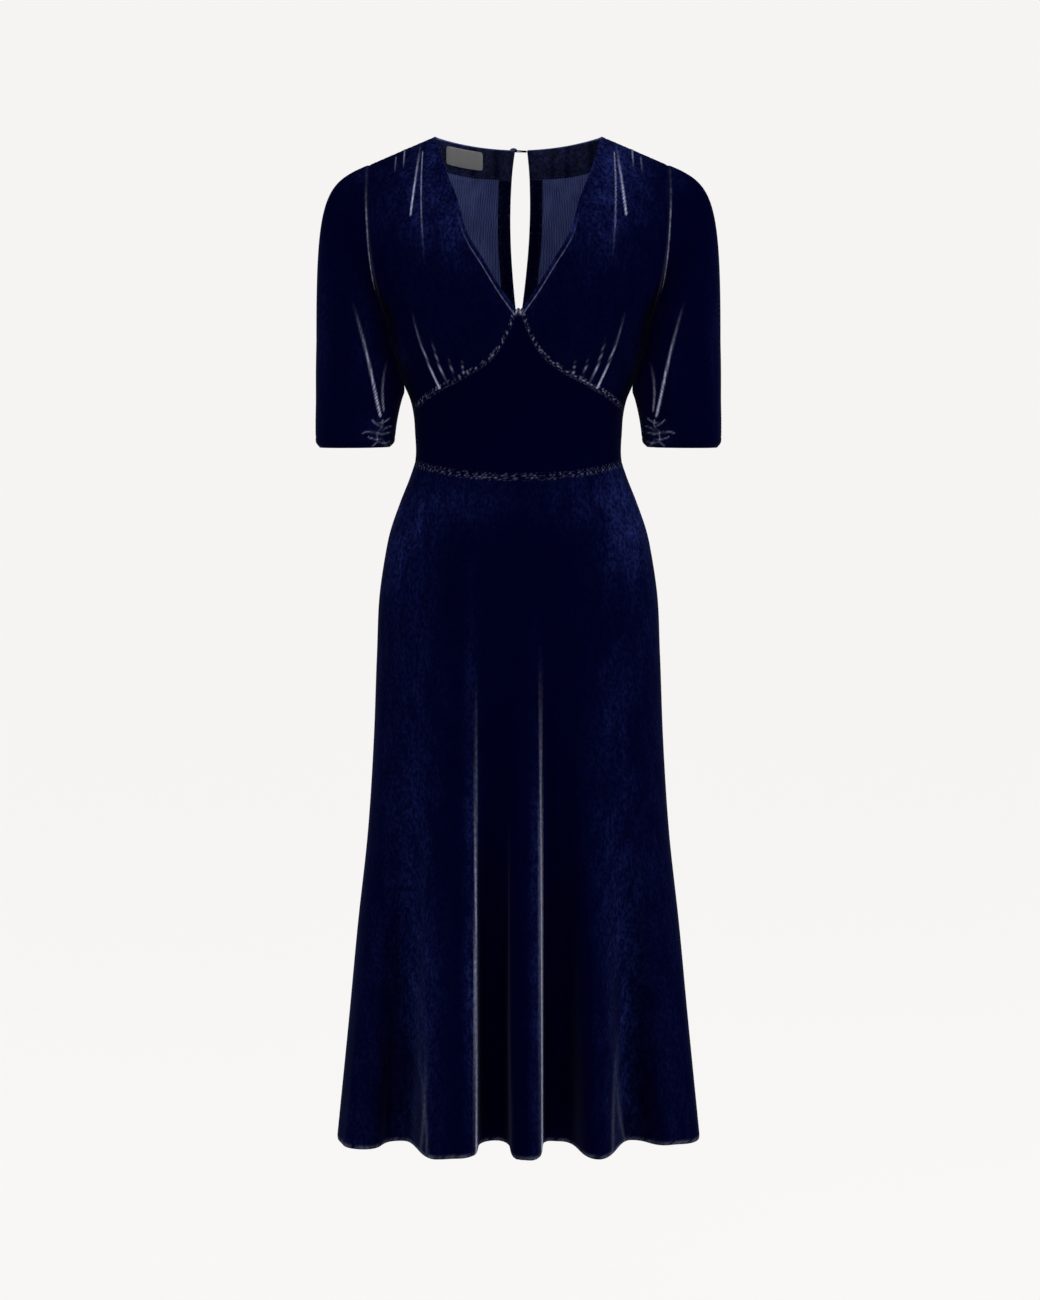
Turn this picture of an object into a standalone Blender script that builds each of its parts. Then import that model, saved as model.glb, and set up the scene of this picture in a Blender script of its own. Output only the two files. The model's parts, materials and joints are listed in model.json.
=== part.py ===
"""A tea dress in velvet, in the hollow form it has when worn. Metres, +Z up.

The front faces -Y, and +X is the wearer's left. The origin lies midway between the two high
shoulder points, where the shoulder seams meet the neck edge, and that is where the wearer
holds the dress up. Heights are given as drops, the distance below that origin.

Every panel is a thin wall on one shared form. The form is a stack of rounded rings whose
sizes stand in the BODY table, and t runs round each ring: 0 at centre front, a quarter turn
at the wearer's left side seam and a half turn at centre back. Panels share their seam points
and stop 0.15 mm short of them, so that two neighbours are 0.3 mm apart.
"""

from collections import namedtuple
import math

import bmesh
import bpy
import numpy as np

MM = 0.001
WALL = 1.6 * MM
FACING_WALL = 1.2 * MM
LABEL_WALL = 1.0 * MM
SEAM_GAP = 0.3 * MM
LAYER_GAP = 1.2 * MM            # between the back and the neck facing inside it
STRIP_GAP = 1.7 * MM            # between the back and the keyhole's facing strips
QUARTER = math.pi / 2
STEP = 1e-6                     # step used to measure a surface's slope

# ---------------------------------------------------------------- the form's sizes

Section = namedtuple("Section", "drop half_width front back squareness")
BODY = [                        # millimetres, except the squareness of the ring
    Section(-60, 208, 66, 74, 2.2),
    Section(0, 206, 78, 80, 2.2),
    Section(80, 200, 93, 92, 2.2),
    Section(134, 190, 99, 97, 2.2),
    Section(182, 172, 101, 94, 2.2),
    Section(210, 156.5, 100, 90, 2.2),
    Section(247, 149.5, 97, 84, 2.2),
    Section(271, 140.5, 94, 80, 2.2),
    Section(290, 133.5, 91, 77, 2.2),
    Section(305, 127, 89, 74, 2.2),
    Section(325, 122.5, 87, 71, 2.2),
    Section(345, 121, 86, 69, 2.2),
    Section(380, 121, 86, 69, 2.2),
    Section(394, 125.5, 88, 73, 2.2),
    Section(426, 138, 93, 82, 2.2),
    Section(461, 150, 98, 94, 2.2),
    Section(496, 157, 102, 104, 2.2),
    Section(531, 162, 105, 112, 2.25),
    Section(602, 165.5, 108, 119, 2.3),
    Section(707, 169.5, 107, 119, 2.45),
    Section(813, 176.5, 105, 117, 2.6),
    Section(918, 188, 102, 115, 2.8),
    Section(1024, 198, 99, 113, 3.2),
    Section(1166, 212, 96, 111, 4.0),
]
RING_POWER = 2.2                # spreads the ring's points evenly round its sides

NECK_POINT = 97 * MM            # half the distance between the high shoulder points
SHOULDER_TIP = 174 * MM         # half the shoulder width, where the sleeve is set in
SHOULDER_SLOPE = 33 / 77        # drop of the shoulder seam for each unit across
FRONT_FALL = 125 * MM           # drop over which the chest rounds away from the seam
BACK_FALL = 105 * MM
FALL_POWER = 1.6

BUST_ACROSS = 80 * MM
BUST_DROP = 218 * MM
BUST_HEIGHT = 15 * MM
BUST_SPREAD_ACROSS = 45 * MM
BUST_SPREAD_DOWN = 42 * MM

# ---------------------------------------------------------------- seams and edges

Place = namedtuple("Place", "across drop")
UNDERBUST_SEAM = [              # from the foot of the neckline to the side seam
    Place(2.5, 203.5),
    Place(9, 224),
    Place(16, 239),
    Place(27, 255),
    Place(46, 270),
    Place(69, 283),
    Place(100, 300),
    Place(122.5, 318),
]
NECKLINE = [                    # the front edge, from its foot to the high shoulder point
    Place(2.5, 203.5),
    Place(19.5, 180),
    Place(39, 148),
    Place(58, 116),
    Place(70, 76),
    Place(83, 43),
    Place(97, 0),
]
ARMHOLE = [                     # from the underarm to the shoulder tip
    Place(156.5, 210),
    Place(164, 182),
    Place(171.5, 134),
    Place(174.5, 80),
    Place(174, 33),
]
MIDRIFF_TIP = 201.5 * MM        # drop of the midriff's point at the foot of the neckline
WAIST_SIDE = 380 * MM
WAIST_DIP_FRONT = 14 * MM
WAIST_DIP_BACK = 5 * MM
HEM_DROP = 1166 * MM
HEM_HALF_WIDTH = 212 * MM
BACK_NECK_DROP = 11.5 * MM
BACK_NECK_POWER = 2.2

Gap = namedtuple("Gap", "drop half_gap")
KEYHOLE = [
    Gap(8, 7.2),
    Gap(30, 9.8),
    Gap(75, 11.6),
    Gap(115, 11.0),
    Gap(155, 8.3),
    Gap(190, 4.8),
    Gap(215, 1.8),
    Gap(228, 0.15),
]
KEYHOLE_END = 228 * MM
KEYHOLE_LEAN = 3.2 * MM         # how far its top lies towards +X
NECK_FACING_DEPTH = 33 * MM
KEYHOLE_FACING_WIDTH = 15 * MM
KEYHOLE_FACING_END = 238 * MM

# ---------------------------------------------------------------- the skirt's folds

STEEP, SOFT, ROUND = 0.85, 0.35, 0.05           # how far a flank's points slide to its middle
Fold = namedtuple("Fold", "name place out start flank", defaults=(STEEP,))
FRONT_FOLDS = [                 # place across the hem, how far out, drop of its start, next flank
    Fold("side seam right", -212, 0, 700),
    Fold("corner right", -184, 12, 800),
    Fold("hollow", -139, -40, 690, ROUND),
    Fold("flute 1", -92, 42, 650),
    Fold("flute 1 edge", -68, 38, 640),
    Fold("hollow", -26, -46, 620),
    Fold("flute 2", 4, 44, 600),
    Fold("flute 2 edge", 15, 46, 580),
    Fold("hollow", 37, -44, 590),
    Fold("hollow edge", 48, -42, 620, SOFT),
    Fold("flute 3", 90, 42, 680, ROUND),
    Fold("hollow", 136, -44, 700, SOFT),
    Fold("corner left", 179, -10, 800),
    Fold("side seam left", 212, 0, 700),
]
BACK_FOLDS = [
    Fold("side seam right", -212, 0, 700),
    Fold("corner right", -181, 6, 790),
    Fold("hollow", -134, -42, 700),
    Fold("flute 4", -88, 46, 640),
    Fold("hollow", -44, -40, 650),
    Fold("flute 5", -6, 44, 610),
    Fold("flute 5 edge", 12, 40, 620),
    Fold("hollow", 52, -44, 660),
    Fold("flute 6", 98, 40, 690),
    Fold("hollow", 143, -36, 720),
    Fold("corner left", 184, 8, 800),
    Fold("side seam left", 212, 0, 700),
]
FOLD_GROWTH = 1.35              # how a fold deepens on its way to the hem

# ---------------------------------------------------------------- the sleeves

Ring = namedtuple("Ring", "drop inner outer half_depth middle")
SLEEVE = [                      # inner and outer side across, and the middle's place on Y
    Ring(238, 144, 235, 60, -7),
    Ring(272, 134, 235.5, 60, -10),
    Ring(292, 131, 235.5, 59.5, -11),
    Ring(306, 135.5, 235.5, 59, -11),
    Ring(330, 141, 236, 58, -10),
    Ring(362, 145, 236, 57, -9),
]
SLEEVE_SQUARENESS = 2.3
CAP_RISE = 0.27                 # pull of the cap's start, as a share of the cap's span
CAP_FALL = 0.78
UNDERARM_PULL = 0.45
BODY_CLEARANCE = 2.2 * MM
UNDERARM_DROP = 210 * MM
UNDERARM_FADE = 20 * MM

# ---------------------------------------------------------------- the small pieces

BUTTON_PLACE = Place(-5.4, 13.2)
BUTTON_SHANK = 1.0 * MM
Turn = namedtuple("Turn", "radius out")
BUTTON_PROFILE = [              # millimetres, from the shank's foot to the dome
    Turn(1.0, 0),
    Turn(1.0, 2.3),
    Turn(3.26, 2.5),
    Turn(4.27, 3.3),
    Turn(4.4, 4.1),
    Turn(3.78, 5.2),
    Turn(2.2, 6.1),
]
BUTTON_TOP = 6.4 * MM
BUTTON_SIDES = 14
LOOP_RADIUS = 0.65 * MM
LOOP_OUT = 1.15 * MM            # how far the loop lies out from the cloth at the button
LOOP_FALL = 1.2 * MM            # how far it falls back on its way to the other edge
LOOP_LEGS = 1.0 * MM            # half the distance between its legs, and where they part
LOOP_PARTING = 1.2 * MM
LOOP_BEND = 0.72 * math.pi      # half the turn that it makes round the shank
LOOP_SIDES = 8
LABEL_GAP = 1.7 * MM            # between the neck facing and the label, which sags a little
LABEL_NEAR = 43 * MM            # the label's ends across, and its drops below the neck edge
LABEL_FAR = 86 * MM
LABEL_TOP = 4 * MM
LABEL_BOTTOM = 25 * MM

NAVY = (0.002, 0.002, 0.022, 1.0)
WRONG_SIDE_BLUE = (0.012, 0.02, 0.085, 1.0)
LABEL_GREY = (0.06, 0.06, 0.065, 1.0)


def smooth(x, knots, values):
    """The smooth curve through the given values: cubics with the slope of their neighbours."""
    knots = np.asarray(knots, dtype=float)
    values = np.asarray(values, dtype=float)
    x = np.clip(x, knots[0], knots[-1])
    slopes = np.gradient(values, knots)
    i = np.clip(np.searchsorted(knots, x) - 1, 0, len(knots) - 2)
    span = knots[i + 1] - knots[i]
    f = (x - knots[i]) / span
    rise = f * f * (3 - 2 * f)
    start_bend = f * (1 - f) ** 2 * span * slopes[i]
    end_bend = f * f * (f - 1) * span * slopes[i + 1]
    return values[i] + rise * (values[i + 1] - values[i]) + start_bend + end_bend


def signed_power(value, power):
    """A power that keeps the value's sign."""
    return np.sign(value) * np.abs(value) ** power


def unit(vectors):
    """Each vector made one unit long."""
    return vectors / np.linalg.norm(vectors, axis=-1, keepdims=True)


def sections(drop):
    """Half width, front depth, back depth and squareness of the form's ring at each drop."""
    drops = [row.drop * MM for row in BODY]
    half_width = smooth(drop, drops, [row.half_width * MM for row in BODY])
    front = smooth(drop, drops, [row.front * MM for row in BODY])
    back = smooth(drop, drops, [row.back * MM for row in BODY])
    squareness = smooth(drop, drops, [row.squareness for row in BODY])
    return half_width, front, back, squareness


def rounded(share):
    """A quarter round: 0 at the shoulder seam, rising steeply, then 1 from the full fall on."""
    share = np.clip(share, 0, 1)
    return (1 - (1 - share) ** FALL_POWER) ** (1 / FALL_POWER)


def superellipse(share, squareness):
    """Depth left at a share of the half width: 1 in the middle and 0 at the side."""
    return np.clip(1 - np.abs(share) ** squareness, 0, 1) ** (1 / squareness)


def seam_drop(across):
    """Drop of the shoulder seam's line at a distance from the middle."""
    return (np.abs(across) - NECK_POINT) * SHOULDER_SLOPE


def body_point(t, drop):
    """Point of the bodice's form, t round the ring and drop below the shoulder points."""
    t, drop = np.broadcast_arrays(np.asarray(t, float), np.asarray(drop, float))
    half_width, front, back, squareness = sections(drop)
    share = signed_power(np.sin(t), 2 / RING_POWER)
    x = half_width * share
    below_seam = drop - seam_drop(x)
    profile = superellipse(share, squareness)
    bust = BUST_HEIGHT * np.exp(
        -0.5 * ((np.abs(x) - BUST_ACROSS) / BUST_SPREAD_ACROSS) ** 2
        - 0.5 * ((drop - BUST_DROP) / BUST_SPREAD_DOWN) ** 2
    )
    ahead = (front + bust) * rounded(below_seam / FRONT_FALL) * profile
    behind = back * rounded(below_seam / BACK_FALL) * profile
    y = np.where(np.cos(t) >= 0, -ahead, behind)
    return np.stack([x, y, -drop], axis=-1)


def turn_at(across, drop, behind=False):
    """The t of the form's point that lies a given distance across, ahead or behind."""
    half_width = sections(np.asarray(drop, float))[0]
    share = np.clip(np.asarray(across, float) / half_width, -1, 1)
    t = np.arcsin(signed_power(share, RING_POWER / 2))
    return math.pi - t if behind else t


def fold_offsets(folds, place, drop):
    """How far folds carry the skirt out, and sideways so that deep flanks turn steep.

    Between two rows of the table the skirt follows half a cosine wave, and it slides along
    by a full sine wave, which pulls its points towards the middle of the flank.
    """
    places = np.array([row.place for row in folds]) * MM
    outs = np.array([row.out for row in folds]) * MM
    starts = np.array([row.start for row in folds]) * MM
    flanks = np.array([row.flank for row in folds])
    i = np.clip(np.searchsorted(places, place) - 1, 0, len(folds) - 2)
    span = places[i + 1] - places[i]
    f = np.clip((place - places[i]) / span, 0, 1)

    def grown(k):
        growth = np.clip((drop - starts[k]) / (HEM_DROP - starts[k]), 0, 1)
        return outs[k] * growth ** FOLD_GROWTH

    here, there = grown(i), grown(i + 1)
    out = here + (there - here) * (1 - np.cos(math.pi * f)) / 2
    steepness = flanks[i] * np.clip(np.abs(there - here) / span, 0, 1)
    slide = span * steepness * np.sin(2 * math.pi * f) / (2 * math.pi)
    return out, slide


def skirt_point(t, drop):
    """Point of the skirt: the form's ring, flared so that folds hang nearly plumb."""
    t, drop = np.broadcast_arrays(np.asarray(t, float), np.asarray(drop, float))
    half_width, front, back, squareness = sections(drop)
    ahead = np.cos(t) >= 0
    hem_share = signed_power(np.sin(t), 2 / RING_POWER)
    spread = half_width / HEM_HALF_WIDTH
    share = hem_share * (1 - np.abs(hem_share) * (1 - spread)) / spread
    profile = superellipse(share, squareness)
    facing = np.where(ahead, -1.0, 1.0)
    depth = np.where(ahead, front, back)
    x = half_width * share
    y = facing * depth * profile
    out_x = signed_power(share, squareness - 1) / half_width
    out_y = facing * profile ** (squareness - 1) / depth
    length = np.hypot(out_x, out_y)
    out_x, out_y = out_x / length, out_y / length
    place = hem_share * HEM_HALF_WIDTH
    front_out, front_slide = fold_offsets(FRONT_FOLDS, place, drop)
    back_out, back_slide = fold_offsets(BACK_FOLDS, place, drop)
    out = np.where(ahead, front_out, back_out)
    slide = np.where(ahead, front_slide, back_slide)
    x = x + out_x * out + np.abs(out_y) * slide
    y = y + out_y * out - facing * out_x * slide
    return np.stack([x, y, -drop], axis=-1)


def normals_of(surface, t, drop):
    """Outward normals of a surface, from its slopes along t and along the drop."""
    along_t = surface(t + STEP, drop) - surface(t - STEP, drop)
    along_drop = surface(t, drop + STEP) - surface(t, drop)
    return unit(np.cross(along_drop, along_t))


def patch(bottom, top, inner, outer):
    """Coons patch between four edges, each a row of (t, drop) points.

    The bottom and top edges run from the inner edge to the outer one, and the inner and
    outer edges run upwards.
    """
    u = np.linspace(0, 1, len(bottom))[None, :, None]
    v = np.linspace(0, 1, len(inner))[:, None, None]
    across = (1 - v) * bottom[None] + v * top[None]
    upward = (1 - u) * inner[:, None] + u * outer[:, None]
    corners = (1 - u) * ((1 - v) * bottom[0] + v * top[0])
    corners = corners + u * ((1 - v) * bottom[-1] + v * top[-1])
    return across + upward - corners


def along(places, shares):
    """Points at shares of the length of the smooth curve through the given places."""
    corners = np.array([(p.across * MM, p.drop * MM) for p in places])
    lengths = np.concatenate([[0], np.cumsum(np.hypot(*np.diff(corners, axis=0).T))])
    at = np.asarray(shares) * lengths[-1]
    return smooth(at, lengths, corners[:, 0]), smooth(at, lengths, corners[:, 1])


def draw_in(points, normals, side, distance=SEAM_GAP / 2):
    """Move one side of a grid into it, square to that side, to leave the seam's gap."""
    rows = {"bottom": (0, 1), "top": (-1, -2)}
    columns = {"inner": (0, 1), "outer": (-1, -2)}
    if side in rows:
        edge, beside = points[rows[side][0]], points[rows[side][1]]
        normal = normals[rows[side][0]]
    else:
        edge, beside = points[:, columns[side][0]], points[:, columns[side][1]]
        normal = normals[:, columns[side][0]]
    tangent = unit(np.gradient(edge, axis=0))
    inward = np.cross(normal, tangent)
    turned = np.sum(inward * (beside - edge), axis=-1, keepdims=True) < 0
    edge += distance * unit(np.where(turned, -inward, inward))


def finish_object(name, mesh, colour, roughness):
    """Turn the faces outwards, link the object and give it its own plain material."""
    shape = bmesh.new()
    shape.from_mesh(mesh)
    bmesh.ops.recalc_face_normals(shape, faces=shape.faces)
    shape.to_mesh(mesh)
    shape.free()
    mesh.shade_smooth()
    mesh.set_sharp_from_angle(angle=math.radians(50))
    material = bpy.data.materials.new(name)
    material.use_nodes = True
    shader = material.node_tree.nodes["Principled BSDF"]
    shader.inputs["Base Color"].default_value = colour
    shader.inputs["Roughness"].default_value = roughness
    mesh.materials.append(material)
    piece = bpy.data.objects.new(name, mesh)
    bpy.context.scene.collection.objects.link(piece)
    return piece


def halves(quad, points):
    """Two triangles of a quad, cut along its shorter diagonal.

    Both faces of a wall are cut along the same diagonal, so that they never cross where the
    cloth twists.
    """
    a, b, c, d = quad
    if np.linalg.norm(points[a] - points[c]) <= np.linalg.norm(points[b] - points[d]):
        return [a, b, c], [a, c, d]
    return [a, b, d], [b, c, d]


def wall(name, outer, normals, thickness=WALL, tube=False, colour=NAVY, roughness=0.8):
    """Closed wall between a grid of points and the same grid moved in along its normals."""
    rows, columns = outer.shape[:2]
    points = np.concatenate([outer.reshape(-1, 3), (outer - thickness * normals).reshape(-1, 3)])
    index = np.arange(rows * columns).reshape(rows, columns)
    if tube:
        index = np.concatenate([index, index[:, :1]], axis=1)
    inside = index + rows * columns
    faces = []
    for r in range(rows - 1):
        for c in range(index.shape[1] - 1):
            quad = [index[r, c], index[r, c + 1], index[r + 1, c + 1], index[r + 1, c]]
            for triangle in halves(quad, points):
                faces.append(triangle)
                faces.append([n + rows * columns for n in reversed(triangle)])
    edges = [(index[0], inside[0]), (index[-1], inside[-1])]
    if not tube:
        edges += [(index[:, 0], inside[:, 0]), (index[:, -1], inside[:, -1])]
    for out_edge, in_edge in edges:
        for k in range(len(out_edge) - 1):
            faces.append([out_edge[k], out_edge[k + 1], in_edge[k + 1], in_edge[k]])
    mesh = bpy.data.meshes.new(name)
    mesh.from_pydata(points.tolist(), [], [[int(n) for n in face] for face in faces])
    return finish_object(name, mesh, colour, roughness)


def mirrored(points, side):
    """The same points on the given side of the middle: 1 for +X and -1 for -X."""
    return points * np.array([side, 1, 1])


def on_plane(normals, axis):
    """Normals laid into a seam's own plane, so that both panels share them."""
    normals = normals.copy()
    normals[..., axis] = 0
    return unit(normals)


# ---------------------------------------------------------------- bodice front

SIDE_ROWS = 5                   # rows along the side seam, then along the armhole
ARMHOLE_ROWS = 9
FRONT_COLUMNS = 10


def armhole_shares():
    """Shares of the armhole's length from the underarm up, closer where the shoulder rounds."""
    return np.sin(np.linspace(0, QUARTER, ARMHOLE_ROWS + 1))


def side_and_armhole(bottom_drop, behind):
    """The (t, drop) points up the side seam from a drop, and on up the armhole."""
    side_drop = np.linspace(bottom_drop, UNDERARM_DROP, SIDE_ROWS + 1)[:-1]
    side = np.stack([np.full(SIDE_ROWS, QUARTER), side_drop], axis=-1)
    across, drop = along(ARMHOLE, armhole_shares())
    t = turn_at(across, drop, behind)
    t[0] = QUARTER
    return np.concatenate([side, np.stack([t, drop], axis=-1)])


def underbust_edge():
    """The (t, drop) points of the seam under the bust, from the middle to the side."""
    across, drop = along(UNDERBUST_SEAM, np.linspace(0, 1, FRONT_COLUMNS + 1))
    t = turn_at(across, drop)
    t[-1] = QUARTER
    return np.stack([t, drop], axis=-1)


def shoulder_edge(start, count, behind):
    """The (t, drop) points of the shoulder seam from a distance across to its tip."""
    across = np.linspace(start, SHOULDER_TIP, count)
    drop = seam_drop(across)
    return np.stack([turn_at(across, drop, behind), drop], axis=-1)


def bodice_front(name, side):
    """One gathered half of the front, from the shoulder to the seam under the bust."""
    rows = SIDE_ROWS + ARMHOLE_ROWS
    outer = side_and_armhole(UNDERBUST_SEAM[-1].drop * MM, behind=False)
    shares = np.sin(np.linspace(0, QUARTER, rows + 1))
    across, drop = along(NECKLINE, shares)
    inner = np.stack([turn_at(across, drop), drop], axis=-1)
    grid = patch(underbust_edge(), shoulder_edge(NECK_POINT, FRONT_COLUMNS + 1, False), inner, outer)
    t, drop = grid[..., 0], grid[..., 1]
    points = body_point(t, drop)
    normals = normals_of(body_point, t, drop)
    normals[-1] = on_plane(normals[-1], 1)
    normals[:SIDE_ROWS + 1, -1] = on_plane(normals[:SIDE_ROWS + 1, -1], 1)
    draw_in(points, normals, "bottom")
    draw_in(points, normals, "top")
    side_seam = points[:SIDE_ROWS + 1]
    draw_in(side_seam, normals[:SIDE_ROWS + 1], "outer")
    wall(name, mirrored(points, side), mirrored(normals, side))


# ---------------------------------------------------------------- midriff

MIDRIFF_ROWS = 5


def waist_drop(t):
    """Drop of the waist seam, which dips a little at centre front and centre back."""
    dip = np.where(np.cos(t) >= 0, WAIST_DIP_FRONT, WAIST_DIP_BACK)
    return WAIST_SIDE + dip * np.cos(t) ** 2


def midriff_front():
    """The fitted panel that rises to a narrow point between the halves of the bust."""
    seam = underbust_edge()
    tip = np.array([[0, MIDRIFF_TIP]])
    top = np.concatenate([seam[::-1] * [-1, 1], tip, seam])
    waist_t = np.linspace(-QUARTER, QUARTER, len(top))
    bottom = np.stack([waist_t, waist_drop(waist_t)], axis=-1)
    v = np.linspace(0, 1, MIDRIFF_ROWS + 1)[:, None, None]
    grid = (1 - v) * bottom[None] + v * top[None]
    t, drop = grid[..., 0], grid[..., 1]
    points = body_point(t, drop)
    normals = normals_of(body_point, t, drop)
    for column in (0, -1):
        normals[:, column] = on_plane(normals[:, column], 1)
    for edge in ("bottom", "top", "inner", "outer"):
        draw_in(points, normals, edge)
    wall("midriff_front", points, normals)


# ---------------------------------------------------------------- bodice back and facings

BACK_COLUMNS = 11
NECK_COLUMNS = 6                # of those, the ones along the back neck edge


def keyhole_edge(drop, side):
    """Distance across from the middle to the keyhole's edge on one side, at each drop."""
    drops = [row.drop * MM for row in KEYHOLE]
    half_gap = smooth(drop, drops, [row.half_gap * MM for row in KEYHOLE])
    lean = side * KEYHOLE_LEAN * np.clip(1 - drop / KEYHOLE_END, 0, 1)
    return np.where(drop < KEYHOLE_END, half_gap + lean, SEAM_GAP / 2)


def back_neck(shares, side):
    """Distance across and drop of the back neck edge, from the keyhole to the shoulder."""
    start = keyhole_edge(np.array(BACK_NECK_DROP), side)
    across = start + (NECK_POINT - start) * np.asarray(shares)
    drop = BACK_NECK_DROP * (1 - (across / NECK_POINT) ** BACK_NECK_POWER)
    return across, drop


def bodice_back(name, side):
    """One half of the back, from the neck and shoulder to the waist, beside the keyhole."""
    rows = SIDE_ROWS + ARMHOLE_ROWS
    outer = side_and_armhole(WAIST_SIDE, behind=True)
    across, drop = back_neck(np.linspace(0, 1, NECK_COLUMNS + 1), side)
    neck = np.stack([turn_at(across, drop, True), drop], axis=-1)
    shoulder = shoulder_edge(NECK_POINT, BACK_COLUMNS - NECK_COLUMNS + 1, True)
    top = np.concatenate([neck, shoulder[1:]])
    seam_rows = np.linspace(WAIST_SIDE + WAIST_DIP_BACK, KEYHOLE_END, SIDE_ROWS)
    edge_shares = np.sin(np.linspace(0, QUARTER, ARMHOLE_ROWS + 2))
    inner_drop = np.concatenate([seam_rows[:-1], KEYHOLE_END + (neck[0, 1] - KEYHOLE_END) * edge_shares])
    inner = np.stack([turn_at(keyhole_edge(inner_drop, side), inner_drop, True), inner_drop], axis=-1)
    waist_t = np.linspace(inner[0, 0], QUARTER, BACK_COLUMNS + 1)
    bottom = np.stack([waist_t, waist_drop(waist_t)], axis=-1)
    grid = patch(bottom, top, inner, outer)
    t, drop = grid[..., 0], grid[..., 1]
    points = body_point(t, drop)
    normals = normals_of(body_point, t, drop)
    normals[-1, NECK_COLUMNS:] = on_plane(normals[-1, NECK_COLUMNS:], 1)
    normals[:SIDE_ROWS + 1, -1] = on_plane(normals[:SIDE_ROWS + 1, -1], 1)
    normals[:, 0] = on_plane(normals[:, 0], 0)
    draw_in(points, normals, "bottom")
    draw_in(points[:, NECK_COLUMNS:], normals[:, NECK_COLUMNS:], "top")
    draw_in(points[:SIDE_ROWS + 1], normals[:SIDE_ROWS + 1], "outer")
    wall(name, mirrored(points, side), mirrored(normals, side), colour=WRONG_SIDE_BLUE)


FACING_COLUMNS = 12


def inner_layer(name, t, drop, side, depth, thickness, colour=NAVY, seam_rows=None):
    """A thin layer that lies inside the back: its points moved in by a depth."""
    normals = normals_of(body_point, t, drop)
    points = body_point(t, drop) - depth * normals
    if seam_rows:
        normals[:, -1] = on_plane(normals[:, -1], 1)
        points[:, -1, 1] = SEAM_GAP / 2
    wall(name, mirrored(points, side), mirrored(normals, side), thickness, colour=colour)


def neck_facing(name, side):
    """The velvet band inside the back neck, from the keyhole to the shoulder seam."""
    shares = np.linspace(0, 1, FACING_COLUMNS + 1)
    across, drop = back_neck(shares, side)
    end = np.linspace(NECK_POINT + NECK_FACING_DEPTH, NECK_POINT, 4)
    outer = np.stack([turn_at(end, seam_drop(end), True), seam_drop(end)], axis=-1)
    top = np.stack([turn_at(across, drop, True), drop], axis=-1)
    low_drop = drop[0] + NECK_FACING_DEPTH
    low_start = keyhole_edge(low_drop, side)
    low_across = low_start + (end[0] - low_start) * np.sin(shares * QUARTER)
    low_drop = low_drop + (outer[0, 1] - low_drop) * ((low_across - low_start) / (end[0] - low_start)) ** 3
    bottom = np.stack([turn_at(low_across, low_drop, True), low_drop], axis=-1)
    side_drop = np.linspace(low_drop[0], drop[0], 4)
    inner = np.stack([turn_at(keyhole_edge(side_drop, side), side_drop, True), side_drop], axis=-1)
    grid = patch(bottom, top, inner, outer)
    inner_layer(name, grid[..., 0], grid[..., 1], side, WALL + LAYER_GAP, FACING_WALL, seam_rows=True)


def keyhole_facing(name, side):
    """The velvet strip inside one side of the keyhole, below the neck facing."""
    top_drop = BACK_NECK_DROP + NECK_FACING_DEPTH + SEAM_GAP
    drop = np.linspace(KEYHOLE_FACING_END, top_drop, 9)[:, None]
    across = keyhole_edge(drop, side) + KEYHOLE_FACING_WIDTH * np.linspace(0, 1, 3)[None]
    drop = np.broadcast_to(drop, across.shape)
    t = turn_at(across, drop, True)
    inner_layer(name, t, drop, side, WALL + STRIP_GAP, FACING_WALL)


def label():
    """The plain woven label on the neck facing, on the wearer's right."""
    across = np.linspace(LABEL_NEAR, LABEL_FAR, 9)[None]
    neck_drop = BACK_NECK_DROP * (1 - (across / NECK_POINT) ** BACK_NECK_POWER)
    drop = neck_drop + np.linspace(LABEL_BOTTOM, LABEL_TOP, 5)[:, None]
    across = np.broadcast_to(across, drop.shape)
    depth = WALL + FACING_WALL + LABEL_GAP
    t = turn_at(across, drop, True)
    inner_layer("label", t, drop, -1, depth, LABEL_WALL, colour=LABEL_GREY)


# ---------------------------------------------------------------- sleeves

SLEEVE_CAP_ROWS = 7
SLEEVE_LOWER_ROWS = 5


def armhole_ring(behind):
    """Points and normals of the armhole from the shoulder tip to the underarm."""
    across, drop = along(ARMHOLE, armhole_shares()[::-1])
    t = turn_at(across, drop, behind)
    t[-1] = QUARTER
    normals = normals_of(body_point, t, drop)
    normals[0] = on_plane(normals[0], 1)
    normals[-1] = on_plane(normals[-1], 1)
    return body_point(t, drop), normals


def sleeve_ring(u, drop):
    """Point of the sleeve's lower part. u is 0 outside, a quarter turn in front."""
    drops = [row.drop * MM for row in SLEEVE]
    inner = smooth(drop, drops, [row.inner * MM for row in SLEEVE])
    outer = smooth(drop, drops, [row.outer * MM for row in SLEEVE])
    half_depth = smooth(drop, drops, [row.half_depth * MM for row in SLEEVE])
    middle = smooth(drop, drops, [row.middle * MM for row in SLEEVE])
    power = 2 / SLEEVE_SQUARENESS
    x = (inner + outer) / 2 + (outer - inner) / 2 * signed_power(np.cos(u), power)
    y = middle - half_depth * signed_power(np.sin(u), power)
    return np.stack(np.broadcast_arrays(x, y, -drop), axis=-1)


def clear_of_body(points, clearance):
    """Push points across until they clear the side of the body, from the underarm down."""
    drop = -points[..., 2]
    below_underarm = np.clip((drop - UNDERARM_DROP) / UNDERARM_FADE + 0.5, 0, 1)
    half_width, front, back, squareness = sections(drop)
    depth = np.where(points[..., 1] < 0, front, back)
    body = half_width * superellipse(np.clip(points[..., 1] / depth, -1, 1), squareness)
    need = body + clearance - points[..., 0]
    softness = 2 * MM
    push = np.where(need > -softness, (need + softness) ** 2 / (4 * softness), 0)
    push = np.where(need > softness, need, push)
    moved = points.copy()
    moved[..., 0] += push * below_underarm
    return moved


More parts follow.
